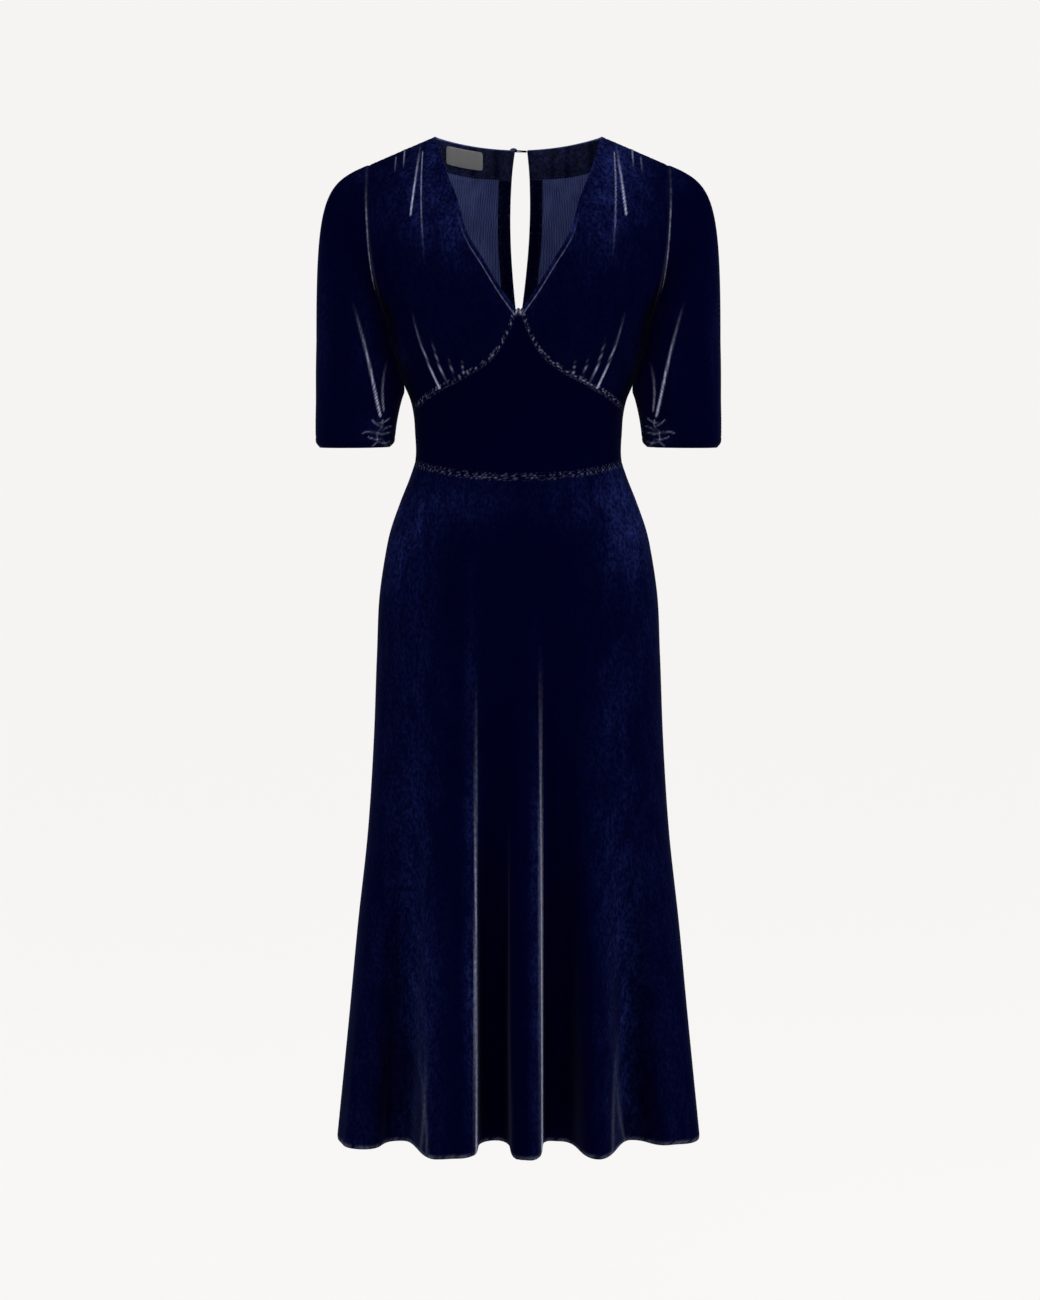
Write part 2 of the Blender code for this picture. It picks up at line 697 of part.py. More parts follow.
def sleeve(name, side):
    """A set-in sleeve to the elbow: a cap on curved ribs, then rings down to the cuff."""
    front, front_normals = armhole_ring(False)
    back, back_normals = armhole_ring(True)
    ring = np.concatenate([front, back[-2:0:-1]])
    normals = np.concatenate([front_normals, back_normals[-2:0:-1]])
    count = len(ring)
    u = 2 * math.pi * np.arange(count) / count
    tangent = unit(np.roll(ring, -1, axis=0) - np.roll(ring, 1, axis=0))
    away = unit(np.cross(normals, tangent))
    lean = (QUARTER * np.sin(u / 2) ** 2.6)[:, None]
    along_rib = np.cos(lean) * away + np.sin(lean) * normals
    start = ring + SEAM_GAP * along_rib
    top_drop = SLEEVE[0].drop * MM
    end = clear_of_body(sleeve_ring(u, np.full(count, top_drop)), BODY_CLEARANCE)
    span = np.linalg.norm(end - start, axis=-1, keepdims=True)
    high = ((1 + np.cos(u)) / 2)[:, None]
    pull_start = (UNDERARM_PULL + (CAP_RISE - UNDERARM_PULL) * high) * span
    pull_end = (UNDERARM_PULL + (CAP_FALL - UNDERARM_PULL) * high ** 1.5) * span
    first = start + pull_start * along_rib
    second = end + pull_end * np.array([0, 0, 1])
    rows = []
    for f in np.linspace(0, 1, SLEEVE_CAP_ROWS + 1):
        blend = (1 - f) ** 3 * start + 3 * f * (1 - f) ** 2 * first
        blend = blend + 3 * f * f * (1 - f) * second + f ** 3 * end
        rows.append(clear_of_body(blend, BODY_CLEARANCE * f) if f > 0 else blend)
    for drop in np.linspace(top_drop, SLEEVE[-1].drop * MM, SLEEVE_LOWER_ROWS + 1)[1:]:
        rows.append(clear_of_body(sleeve_ring(u, np.full(count, drop)), BODY_CLEARANCE))
    points = np.array(rows)
    around = np.roll(points, -1, axis=1) - np.roll(points, 1, axis=1)
    down = np.gradient(points, axis=0)
    outward = unit(np.cross(around, down))
    outward[0] = np.cos(lean) * normals - np.sin(lean) * away
    wall(name, mirrored(points, side), mirrored(outward, side), tube=True)


# ---------------------------------------------------------------- skirt

SKIRT_ROWS = 11
COLUMN_TURN = math.radians(9)
SEAM_ROUNDS = 4                 # enough to settle the skirt's top on the waist seam


def skirt_top(t):
    """Drop of the skirt's top edge, found where it lies on the waist seam's own curve.

    The skirt spreads its points otherwise than the bodice does, so the seam is followed by
    the share of the width: cos(t)^2 of the bodice is 1 - share^RING_POWER.
    """
    dip = np.where(np.cos(t) >= 0, WAIST_DIP_FRONT, WAIST_DIP_BACK)
    drop = np.full(np.shape(t), WAIST_SIDE)
    for _ in range(SEAM_ROUNDS):
        share = np.abs(skirt_point(t, drop)[..., 0]) / sections(drop)[0]
        drop = WAIST_SIDE + dip * (1 - np.clip(share, 0, 1) ** RING_POWER)
    return drop


def skirt_columns(folds):
    """The t of each column: every row of the folds' table, and even steps between."""
    shares = np.array([row.place for row in folds]) * MM / HEM_HALF_WIDTH
    turns = np.arcsin(signed_power(shares, RING_POWER / 2))
    columns = [turns[:1]]
    for k in range(len(folds) - 1):
        deep = abs(folds[k + 1].out - folds[k].out) > 60
        steps = max(3 if deep else 1, math.ceil((turns[k + 1] - turns[k]) / COLUMN_TURN))
        columns.append(np.linspace(turns[k], turns[k + 1], steps + 1)[1:])
    return np.concatenate(columns)


def skirt(name, folds, behind):
    """One flared skirt panel, from side seam to side seam and from the waist to the hem."""
    columns = skirt_columns(folds)
    t = math.pi - columns if behind else columns
    v = np.linspace(0, 1, SKIRT_ROWS + 1)[:, None] ** 0.9
    drop = HEM_DROP + (skirt_top(t)[None] - HEM_DROP) * v
    t = np.broadcast_to(t[None], drop.shape)
    points = skirt_point(t, drop)
    normals = normals_of(skirt_point, t, drop)
    for column in (0, -1):
        normals[:, column] = on_plane(normals[:, column], 1)
    for edge in ("top", "inner", "outer"):
        draw_in(points, normals, edge)
    wall(name, points, normals)


# ---------------------------------------------------------------- button and loop

def clasp_frame():
    """Place on the back's edge where the button sits, and its outward and sideways units."""
    across, drop = BUTTON_PLACE.across * MM, BUTTON_PLACE.drop * MM
    t = turn_at(across, drop, True)
    outward = normals_of(body_point, np.array(t), np.array(drop))
    foot = body_point(t, drop)
    sideways = unit(np.cross(outward, [0, 0, 1.0]))
    return foot, outward, sideways, np.cross(sideways, outward)


def button():
    """The covered button: a domed head on a short shank, turned round its axis."""
    foot, outward, sideways, upward = clasp_frame()
    base = foot + SEAM_GAP * outward
    profile = np.array(BUTTON_PROFILE) * MM
    turn = 2 * math.pi * np.arange(BUTTON_SIDES) / BUTTON_SIDES
    round_axis = np.cos(turn)[:, None] * sideways + np.sin(turn)[:, None] * upward
    rings = base + profile[:, 0, None, None] * round_axis + profile[:, 1, None, None] * outward
    tube_mesh("button", rings, [base, base + BUTTON_TOP * outward])


def tube_mesh(name, rings, ends):
    """Closed mesh over a row of rings, each end drawn to one point."""
    count, sides = rings.shape[:2]
    points = np.concatenate([rings.reshape(-1, 3), np.array(ends)])
    faces = []
    for k in range(sides):
        beside = (k + 1) % sides
        for r in range(count - 1):
            low, high = r * sides, (r + 1) * sides
            faces.append([low + k, low + beside, high + beside, high + k])
        faces.append([count * sides, beside, k])
        last = (count - 1) * sides
        faces.append([count * sides + 1, last + k, last + beside])
    mesh = bpy.data.meshes.new(name)
    mesh.from_pydata(points.tolist(), [], faces)
    finish_object(name, mesh, NAVY, 0.8)


def button_loop():
    """The thin loop from the other edge: two legs that part round the button's shank."""
    foot, outward, sideways, upward = clasp_frame()
    sideways = sideways * np.sign(sideways[0])
    eye = BUTTON_SHANK + SEAM_GAP + LOOP_RADIUS
    far_edge = keyhole_edge(np.array(BUTTON_PLACE.drop * MM), 1)
    reach = (far_edge - BUTTON_PLACE.across * MM) - LOOP_RADIUS - SEAM_GAP
    leg = [(reach, LOOP_LEGS), (reach * 0.7, LOOP_LEGS), (reach * 0.42, LOOP_PARTING)]
    bend = np.linspace(-LOOP_BEND, LOOP_BEND, 11)
    eye_path = [(-eye * math.cos(b), eye * math.sin(b)) for b in bend]
    path = np.array([(x, -y) for x, y in leg] + eye_path + leg[::-1])
    fall = LOOP_FALL * np.clip(path[:, :1] / reach, 0, 1)
    centre = foot + (SEAM_GAP + LOOP_OUT - fall) * outward
    centre = centre + path[:, :1] * sideways + path[:, 1:] * upward
    tangent = unit(np.gradient(centre, axis=0))
    across = unit(np.cross(tangent, outward))
    turn = 2 * math.pi * np.arange(LOOP_SIDES) / LOOP_SIDES
    rings = centre[:, None] + LOOP_RADIUS * (
        np.cos(turn)[None, :, None] * across[:, None] + np.sin(turn)[None, :, None] * outward
    )
    tube_mesh("button_loop", rings, [centre[0], centre[-1]])


def build():
    """Clear the scene and make every piece of the dress."""
    for piece in list(bpy.data.objects):
        bpy.data.objects.remove(piece)
    for side, word in ((1, "left"), (-1, "right")):
        bodice_front(f"bodice_front_{word}", side)
        bodice_back(f"bodice_back_{word}", side)
        neck_facing(f"neck_facing_{word}", side)
        keyhole_facing(f"keyhole_facing_{word}", side)
        sleeve(f"sleeve_{word}", side)
    midriff_front()
    skirt("skirt_front", FRONT_FOLDS, behind=False)
    skirt("skirt_back", BACK_FOLDS, behind=True)
    label()
    button()
    button_loop()


build()
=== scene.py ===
# %% [markdown]
# # A velvet tea dress, one cell at a time
#
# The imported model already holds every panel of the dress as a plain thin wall. This script
# rebuilds each panel as fine cloth on the same form, gives it creases, puckers and turned
# edges, and dresses it in a velvet made of shader nodes. All lengths are metres, +Z is up,
# the front faces -Y, and +X is the wearer's left.

# %% Load the frame
import json
import math
from collections import namedtuple

import bpy
import numpy as np
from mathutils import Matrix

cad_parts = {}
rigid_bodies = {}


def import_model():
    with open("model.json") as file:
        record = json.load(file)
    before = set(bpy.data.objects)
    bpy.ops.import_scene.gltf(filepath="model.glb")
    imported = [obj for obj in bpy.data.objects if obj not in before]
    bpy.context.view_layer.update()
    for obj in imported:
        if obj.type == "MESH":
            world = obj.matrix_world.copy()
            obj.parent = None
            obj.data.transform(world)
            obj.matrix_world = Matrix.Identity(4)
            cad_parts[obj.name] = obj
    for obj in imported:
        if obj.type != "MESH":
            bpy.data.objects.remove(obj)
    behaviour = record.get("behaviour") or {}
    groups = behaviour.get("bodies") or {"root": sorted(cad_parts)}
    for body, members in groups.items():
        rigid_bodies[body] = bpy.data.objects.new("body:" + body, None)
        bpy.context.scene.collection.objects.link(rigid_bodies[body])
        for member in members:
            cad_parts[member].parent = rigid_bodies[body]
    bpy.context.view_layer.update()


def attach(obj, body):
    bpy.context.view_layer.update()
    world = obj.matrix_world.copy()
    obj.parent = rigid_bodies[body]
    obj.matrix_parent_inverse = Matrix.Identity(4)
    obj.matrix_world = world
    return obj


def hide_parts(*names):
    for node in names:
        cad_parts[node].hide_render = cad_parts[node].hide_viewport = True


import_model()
MM = 0.001

# %% [markdown]
# ## The camera
#
# The dress is seen from a few metres away through a long lens, so that the hem and the
# shoulders keep their true proportions. The camera stands at bust height, tips down a
# little, and a small shift frames the whole length with air around it.

# %% Camera
CAMERA_DISTANCE = 3.6
CAMERA_ACROSS = 0.0018
CAMERA_HEIGHT = -0.28
CAMERA_TILT = math.radians(2.0)
FRAME_HEIGHT = 1.518            # height of the picture where the dress hangs
FRAME_MIDDLE = -0.5989
SENSOR_SIZE = 36.0              # millimetres, along the picture's longer side

camera_data = bpy.data.cameras.new("camera")
camera_data.sensor_width = SENSOR_SIZE
camera_data.lens = SENSOR_SIZE * CAMERA_DISTANCE / FRAME_HEIGHT
aim = CAMERA_HEIGHT - CAMERA_DISTANCE * math.tan(CAMERA_TILT)
camera_data.shift_y = (FRAME_MIDDLE - aim) / FRAME_HEIGHT
camera = bpy.data.objects.new("camera", camera_data)
camera.location = (CAMERA_ACROSS, -CAMERA_DISTANCE, CAMERA_HEIGHT)
camera.rotation_euler = (math.pi / 2 - CAMERA_TILT, 0, 0)
bpy.context.scene.collection.objects.link(camera)
bpy.context.scene.camera = camera
print("lens", round(camera_data.lens, 1), "mm, shift", round(camera_data.shift_y, 3))

# %% [markdown]
# ## The form that the cloth follows
#
# A worn dress takes its shape from its cut. Here that shape is a stack of rounded rings,
# each a superellipse with its own width, depth and squareness, and every panel is a stretch
# of the same stack. A smooth curve through the rows of a short table gives the rings
# between them, so the whole form hangs on two dozen readable numbers.

# %% The rings' sizes, in millimetres
Section = namedtuple("Section", "drop half_width front back squareness")
BODY = [
    Section(-60, 208, 66, 74, 2.2),
    Section(0, 206, 78, 80, 2.2),
    Section(80, 200, 93, 92, 2.2),
    Section(134, 190, 99, 97, 2.2),
    Section(182, 172, 101, 94, 2.2),
    Section(210, 156.5, 100, 90, 2.2),
    Section(247, 149.5, 97, 84, 2.2),
    Section(271, 140.5, 94, 80, 2.2),
    Section(290, 133.5, 91, 77, 2.2),
    Section(305, 127, 89, 74, 2.2),
    Section(325, 122.5, 87, 71, 2.2),
    Section(345, 121, 86, 69, 2.2),
    Section(380, 121, 86, 69, 2.2),
    Section(394, 125.5, 88, 73, 2.2),
    Section(426, 138, 93, 82, 2.2),
    Section(461, 150, 98, 94, 2.2),
    Section(496, 157, 102, 104, 2.2),
    Section(531, 162, 105, 112, 2.25),
    Section(602, 165.5, 108, 119, 2.3),
    Section(707, 169.5, 107, 119, 2.45),
    Section(813, 176.5, 105, 117, 2.6),
    Section(918, 188, 102, 115, 2.8),
    Section(1024, 198, 99, 113, 3.2),
    Section(1166, 212, 96, 111, 4.0),
]
RING_POWER = 2.2
NECK_POINT = 97 * MM
SHOULDER_TIP = 174 * MM
SHOULDER_SLOPE = 33 / 77
FRONT_FALL = 125 * MM
BACK_FALL = 105 * MM
FALL_POWER = 1.6
QUARTER = math.pi / 2


def column(rows, name, scale=MM):
    """One named column of a table as an array, scaled from millimetres."""
    return np.array([getattr(row, name) for row in rows], dtype=float) * scale


def smooth(x, knots, values):
    """Curve through the values: on each stretch a cubic with its neighbours' slopes."""
    x = np.clip(x, knots[0], knots[-1])
    slopes = np.gradient(values, knots)
    i = np.clip(np.searchsorted(knots, x) - 1, 0, len(knots) - 2)
    span = knots[i + 1] - knots[i]
    f = (x - knots[i]) / span
    rise = f * f * (3 - 2 * f)
    bends = f * (1 - f) ** 2 * slopes[i] + f * f * (f - 1) * slopes[i + 1]
    return values[i] + rise * (values[i + 1] - values[i]) + span * bends


def signed_power(value, power):
    """A power that keeps the value's sign."""
    return np.sign(value) * np.abs(value) ** power


def unit(vectors):
    """Each vector made one unit long."""
    length = np.linalg.norm(vectors, axis=-1, keepdims=True)
    return vectors / np.maximum(length, 1e-12)


def sections(drop):
    """Half width, front depth, back depth and squareness of the ring at each drop."""
    drops = column(BODY, "drop")
    sizes = [smooth(drop, drops, column(BODY, name)) for name in ("half_width", "front", "back")]
    return *sizes, smooth(drop, drops, column(BODY, "squareness", 1.0))


def superellipse(share, squareness):
    """Depth left at a share of the half width: (1 - share^n)^(1/n)."""
    return np.clip(1 - np.abs(share) ** squareness, 0, 1) ** (1 / squareness)


# %% [markdown]
# ## The bodice's form
#
# Above the underarm the rings would be too wide for the shoulders, so their depth fades to
# nothing at the shoulder seam along a rounded quarter. A low mound on each side is the
# fullness that the gathers under the bust let out.

# %% Bodice form
BUST_ACROSS = 80 * MM
BUST_DROP = 218 * MM
BUST_HEIGHT = 15 * MM
BUST_SPREAD_ACROSS = 45 * MM
BUST_SPREAD_DOWN = 42 * MM


def rounded(share):
    """A quarter round: 0 at the shoulder seam, rising steeply, then 1 from the full fall."""
    share = np.clip(share, 0, 1)
    return (1 - (1 - share) ** FALL_POWER) ** (1 / FALL_POWER)


def seam_drop(across):
    """Drop of the shoulder seam's line at a distance from the middle."""
    return (np.abs(across) - NECK_POINT) * SHOULDER_SLOPE


def body_point(t, drop):
    """Point of the form: x is the half width times sin(t)^(2/n), and y is the depth left."""
    t, drop = np.broadcast_arrays(np.asarray(t, float), np.asarray(drop, float))
    half_width, front, back, squareness = sections(drop)
    share = signed_power(np.sin(t), 2 / RING_POWER)
    x = half_width * share
    below_seam = drop - seam_drop(x)
    profile = superellipse(share, squareness)
    bust = BUST_HEIGHT * np.exp(
        -0.5 * ((np.abs(x) - BUST_ACROSS) / BUST_SPREAD_ACROSS) ** 2
        - 0.5 * ((drop - BUST_DROP) / BUST_SPREAD_DOWN) ** 2
    )
    ahead = (front + bust) * rounded(below_seam / FRONT_FALL) * profile
    behind = back * rounded(below_seam / BACK_FALL) * profile
    return np.stack([x, np.where(np.cos(t) >= 0, -ahead, behind), -drop], axis=-1)


def turn_at(across, drop, behind=False):
    """The t of the form's point that lies a given distance across."""
    drop = np.asarray(drop, float)
    share = np.clip(np.asarray(across, float) / sections(drop)[0], -1, 1)
    t = np.arcsin(signed_power(share, RING_POWER / 2))
    return math.pi - t if behind else t


# %% [markdown]
# ## Cloth from a grid
#
# Each panel is a grid of points with a relief in millimetres: how far creases, puckers and
# seams lift it off the form. The outer face carries the whole relief and the inner face
# half of it, and strips along the borders close the wall. Both faces come from the same
# arrays, so there is no loop over the points.

# %% Grid helpers
WALL = 1.5 * MM


def grid_normals(points, around=False):
    """Unit normals of a grid: the cross product of its slopes along rows and columns."""
    if around:
        wide = np.concatenate([points[:, -1:], points, points[:, :1]], axis=1)
        along = np.gradient(wide, axis=1)[:, 1:-1]
    else:
        along = np.gradient(points, axis=1)
    return unit(np.cross(along, np.gradient(points, axis=0)))


def strip(near, far):
    """Faces between two rows of point numbers."""
    return np.stack([near[:-1], near[1:], far[1:], far[:-1]], axis=-1).reshape(-1, 4)


def cloth(name, form, relief, normals, around=False, wall=WALL, inner_share=0.5):
    """A closed thin wall: outer face = form + relief, inner face = form - wall.

    normals point out of the dress. The faces of the outer side get material slot 0 and
    those of the inner side and the borders slot 1. A UV map holds each point's distance
    along its row and column, in metres, so that ribs and weave follow the cloth.
    """
    rows, columns = form.shape[:2]
    relief = np.broadcast_to(relief, (rows, columns))[..., None]
    outer = form + relief * normals
    inner = form + (inner_share * relief - wall) * normals
    number = np.arange(rows * columns).reshape(rows, columns)
    if around:
        number = np.concatenate([number, number[:, :1]], axis=1)
    inside = number + rows * columns
    quads = np.stack([number[:-1, :-1], number[:-1, 1:], number[1:, 1:], number[1:, :-1]], axis=-1)
    quads = quads.reshape(-1, 4)
    borders = [strip(inside[0], number[0]), strip(number[-1], inside[-1])]
    if not around:
        borders += [strip(number[:, 0], inside[:, 0]), strip(inside[:, -1], number[:, -1])]
    facing = np.cross(
        form[rows // 2, columns // 3 + 1] - form[rows // 2, columns // 3],
        form[rows // 2 + 1, columns // 3] - form[rows // 2, columns // 3],
    )
    outward = float(facing @ normals[rows // 2, columns // 3]) > 0
    faces = np.concatenate([quads, quads[:, ::-1] + rows * columns, *borders])
    if not outward:
        faces = faces[:, ::-1]
    mesh = bpy.data.meshes.new(name)
    points = np.concatenate([outer.reshape(-1, 3), inner.reshape(-1, 3)])
    mesh.from_pydata(points, [], faces.tolist())
    slot = np.ones(len(faces), dtype=np.int32)
    slot[:len(quads)] = 0
    mesh.polygons.foreach_set("material_index", slot)
    u = np.concatenate([[0], np.cumsum(np.linalg.norm(np.diff(form[rows // 2], axis=0), axis=-1))])
    v = np.concatenate([[0], np.cumsum(np.linalg.norm(np.diff(form[:, columns // 2], axis=0), axis=-1))])
    flat = np.stack(np.broadcast_arrays(u[None, :], v[:, None]), axis=-1).reshape(-1, 2)
    flat = np.concatenate([flat, flat])
    loops = np.empty(len(mesh.loops), dtype=np.int32)
    mesh.loops.foreach_get("vertex_index", loops)
    layer = mesh.uv_layers.new(name="cut")
    layer.uv.foreach_set("vector", flat[loops].astype(np.float32).ravel())
    mesh.shade_smooth()
    mesh.update()
    piece = bpy.data.objects.new(name, mesh)
    bpy.context.scene.collection.objects.link(piece)
    print(f"{name}: {len(faces) * 2} triangles")
    return piece


def crowded(count, crowding=0.75):
    """Even steps from 0 to 1, drawn towards both ends: x - k sin(2 pi x) / (2 pi)."""
    x = np.linspace(0, 1, count)
    return x - crowding * np.sin(2 * math.pi * x) / (2 * math.pi)


def patch(bottom, top, inner, outer, u, v):
    """Coons patch between four edges of (t, drop) points, at shares u across and v up."""
    u, v = u[None, :, None], v[:, None, None]
    across = (1 - v) * bottom[None] + v * top[None]
    upward = (1 - u) * inner[:, None] + u * outer[:, None]
    corners = (1 - u) * ((1 - v) * bottom[0] + v * top[0])
    return across + upward - corners - u * ((1 - v) * bottom[-1] + v * top[-1])


def from_edges(points):
    """Distance of each grid point from the bottom, top, inner and outer edge, along the grid."""
    upward = np.linalg.norm(np.diff(points, axis=0), axis=-1)
    upward = np.concatenate([np.zeros((1, points.shape[1])), np.cumsum(upward, axis=0)])
    across = np.linalg.norm(np.diff(points, axis=1), axis=-1)
    across = np.concatenate([np.zeros((points.shape[0], 1)), np.cumsum(across, axis=1)], axis=1)
    return upward, upward[-1:] - upward, across, across[:, -1:] - across


# %% [markdown]
# ## Creases, seams and puckers
#
# Velvet hides small folds where it faces the eye and shows them as bright threads where it
# turns away, so the creases matter even when they are only a millimetre high. A crease is a
# line on the panel with a bell-shaped section that dies out along its length. A sewn seam
# draws the cloth into a groove, and the thread pulls uneven puckers beside it.

# %% Relief helpers
Crease = namedtuple("Crease", "x0 y0 x1 y1 bow width height")


def creases(rows, x, y, mirror=1.0):
    """Sum of the table's creases at points (x, y), y being the drop, all in metres.

    s runs from 0 to 1 along a crease and d is the distance from its bowed line. The height
    is height * exp(-(d / width)^2) * cos(s * 90 degrees)^2, and ends softly before s = 0.
    """
    total = np.zeros(np.broadcast(x, y).shape)
    for row in rows:
        start = np.array([row.x0 * mirror, row.y0]) * MM
        reach = np.array([row.x1 * mirror, row.y1]) * MM - start
        length = np.hypot(*reach)
        ux, uy = reach / length
        s = ((x - start[0]) * ux + (y - start[1]) * uy) / length
        bow = row.bow * MM * mirror * 4 * s * (1 - s)
        d = ((x - start[0]) * -uy + (y - start[1]) * ux) - bow
        width = row.width * MM * (1 + 0.6 * np.clip(s, 0, 1))
        ahead = np.cos(QUARTER * np.clip(s, 0, 1)) ** 2
        behind = np.exp(-((np.minimum(s, 0) * length / (2 * width)) ** 2))
        total += row.height * MM * np.exp(-((d / width) ** 2)) * ahead * behind
    return total


def ripple(s, length, seed):
    """Uneven waves along a seam: four sines whose lengths share no common measure."""
    total = 0
    for k, (stretch, share) in enumerate([(1.0, 0.4), (0.618, 0.3), (1.83, 0.35), (0.371, 0.25)]):
        total = total + share * np.sin(2 * math.pi * s / (length * stretch) + seed * (k + 1.7))
    return total


def sewn(distance, s, seed, depth=1.3, pucker=0.45):
    """A sewn edge: a groove at the seam, then puckers that fade a centimetre away."""
    groove = -depth * MM * np.exp(-((distance / (2.4 * MM)) ** 2))
    fading = np.exp(-distance / (6 * MM)) * (1 - np.exp(-distance / (1.2 * MM)))
    return groove + pucker * MM * ripple(s, 7 * MM, seed) * fading


def bell(x, y, x0, y0, wide, tall):
    """A soft round patch of height one, its place and its sizes in millimetres."""
    return np.exp(-(((x - x0 * MM) / (wide * MM)) ** 2) - (((y - y0 * MM) / (tall * MM)) ** 2))


Patch = namedtuple("Patch", "x0 y0 wide tall strength")


def patches(rows, x, y):
    """Sum of a table's soft patches, each exp(-(dx/wide)^2 - (dy/tall)^2) times its strength."""
    return sum(row.strength * bell(x, y, row.x0, row.y0, row.wide, row.tall) for row in rows)


# Painted highlights: crests, seams and edges painted pale where velvet would catch sheen.
CREST_HIGHLIGHT_WIDTH = 0.28              # a shining thread's width, against its crease's


def crest_highlights(rows, x, y, mirror=1.0):
    """Painted highlight along the crests of a table's creases: 0 to 1, and much narrower than the crease."""
    crests = [row._replace(width=CREST_HIGHLIGHT_WIDTH * row.width, height=min(0.6 * row.height, 1) / MM)
              for row in rows if row.height > 0]
    return creases(crests, x, y, mirror)


def glint(distance, place, width):
    """A fine line that shines along an edge, at a place and of a width in millimetres."""
    return np.exp(-(((distance - place * MM) / (width * MM)) ** 2))


def seam_highlight_flecks(distance, s, seed):
    """Painted highlight: uneven bright flecks of sheen beside a seam, where the thread crushes the pile."""
    flecks = np.clip(1.8 * ripple(s, 6 * MM, seed + 2.0) - 0.25, 0, 1)
    strays = np.clip(2.0 * ripple(s, 3.1 * MM, seed) - 0.5, 0, 1) * glint(distance, 3.4, 0.9)
    return 0.36 * flecks * glint(distance, 1.3, 0.7) + 0.2 * strays


def turned(distance, s, seed, hem=6.0, depth=0.45):
    """A turned edge: the fold rounds over, and a row of stitches sinks in behind it."""
    fold = -0.8 * MM * np.exp(-((distance / (0.9 * MM)) ** 2))
    stitches = -depth * MM * np.exp(-(((distance - hem * MM) / (1.1 * MM)) ** 2))
    return fold + stitches * (1 + 0.35 * ripple(s, 5 * MM, seed))

# %% [markdown]
# ## Velvet, its wrong side and the label's weave
#
# Velvet is a forest of short upright threads. Seen end on, the forest swallows the light and
# the cloth is nearly black. Seen from the side, the threads' flanks catch it, so every fold
# turns pale where it rolls out of sight. Where the pile has been stroked or crushed it leans,
# and shows blue in patches even face on. So the material has a very dark base, a faint sheen,
# and two values painted on each piece. The first mixes in a lighter blue: partly the leaning
# pile's own patches, which noise breaks up, and partly painted sheen, glows set where the cloth
# turns away. The second is painted highlight, a pale colour along crests, seams and edges that
# stands in for the bright threads of sheen.

# %% Shader helpers
def add(tree, kind, **settings):
    """A new shader node with its settings made."""
    node = tree.nodes.new("ShaderNode" + kind)
    for name, value in settings.items():
        setattr(node, name, value)
    return node


def number(tree, operation, first, second):
    """A math node between two sockets or plain numbers, giving back its output."""
    node = add(tree, "Math", operation=operation)
    for socket, value in zip(node.inputs, (first, second)):
        if isinstance(value, (int, float)):
            socket.default_value = value
        else:
            tree.links.new(value, socket)
    return node.outputs[0]


def spread(tree, value, low, high, to_low=0.0, to_high=1.0):
    """A map-range node that carries low..high to to_low..to_high, smoothly and clamped."""
    node = add(tree, "MapRange", interpolation_type="SMOOTHSTEP")
    tree.links.new(value, node.inputs["Value"])
    for name, amount in zip(("From Min", "From Max", "To Min", "To Max"), (low, high, to_low, to_high)):
        node.inputs[name].default_value = amount
    return node.outputs["Result"]


def noise(tree, vector, scale, detail=3.0, stretch=(1, 1, 1), roughness=0.5):
    """Noise in the given coordinates, stretched through a mapping node."""
    mapping = add(tree, "Mapping")
    mapping.inputs["Scale"].default_value = stretch
    tree.links.new(vector, mapping.inputs["Vector"])
    node = add(tree, "TexNoise")
    node.inputs["Scale"].default_value = scale
    node.inputs["Detail"].default_value = detail
    node.inputs["Roughness"].default_value = roughness
    tree.links.new(mapping.outputs["Vector"], node.inputs["Vector"])
    return node.outputs["Fac"]


def new_group(name, outputs):
    """An empty node group that takes a position and gives the named values."""
    tree = bpy.data.node_groups.new(name, "ShaderNodeTree")
    tree.interface.new_socket("Position", in_out="INPUT", socket_type="NodeSocketVector")
    for socket in outputs:
        tree.interface.new_socket(socket, in_out="OUTPUT", socket_type="NodeSocketFloat")
    return tree, tree.nodes.new("NodeGroupInput").outputs["Position"], tree.nodes.new("NodeGroupOutput")


# %% The pile as a shared group
pile, position, result = new_group("pile", ["Leaning", "Grain", "Height"])
clouds = noise(pile, position, 11.0, 4.0, (1, 1, 0.5), 0.6)
streaks = noise(pile, position, 70.0, 3.0, (1, 1, 0.35), 0.6)
tufts = noise(pile, position, 330.0, 2.0, (1, 1, 0.55), 0.7)
mixed = number(pile, "ADD", number(pile, "MULTIPLY", clouds, 0.55), number(pile, "MULTIPLY", streaks, 0.45))
pile.links.new(spread(pile, mixed, 0.38, 0.64), result.inputs["Leaning"])
pile.links.new(spread(pile, tufts, 0.36, 0.68), result.inputs["Grain"])
pile.links.new(tufts, result.inputs["Height"])


def link_group(tree, group, vector):
    """A group node fed with coordinates."""
    node = tree.nodes.new("ShaderNodeGroup")
    node.node_tree = group
    tree.links.new(vector, node.inputs["Position"])
    return node


def new_material(name):
    """A node material with its tree, its shader and its texture coordinates."""
    material = bpy.data.materials.new(name)
    material.use_nodes = True
    tree = material.node_tree
    return material, tree, tree.nodes["Principled BSDF"], add(tree, "TexCoord")


def mix_colour(tree, factor, dark, light):
    """A mix between two colours by a factor socket."""
    node = add(tree, "Mix", data_type="RGBA")
    tree.links.new(factor, node.inputs["Factor"])
    node.inputs[6].default_value = (*dark, 1)
    node.inputs[7].default_value = (*light, 1)
    return node.outputs[2]


def bumped(tree, shader, height, strength, distance):
    """A bump of a given depth in metres, linked to the shader's normal."""
    bump = add(tree, "Bump")
    bump.inputs["Strength"].default_value = strength
    bump.inputs["Distance"].default_value = distance
    tree.links.new(height, bump.inputs["Height"])
    tree.links.new(bump.outputs["Normal"], shader.inputs["Normal"])


# %% Velvet, right side out
PILE_DEEP = (0.0002, 0.0003, 0.0075)
# Lighter blue of the leaning pile's own patches, also used as painted sheen glow.
PILE_PATCH_AND_SHEEN_BLUE = (0.009, 0.014, 0.078)
# Pale colour of the painted highlights that stand in for sheen on crests, seams and edges.
PAINTED_HIGHLIGHT_COLOUR = (0.50, 0.53, 0.76)

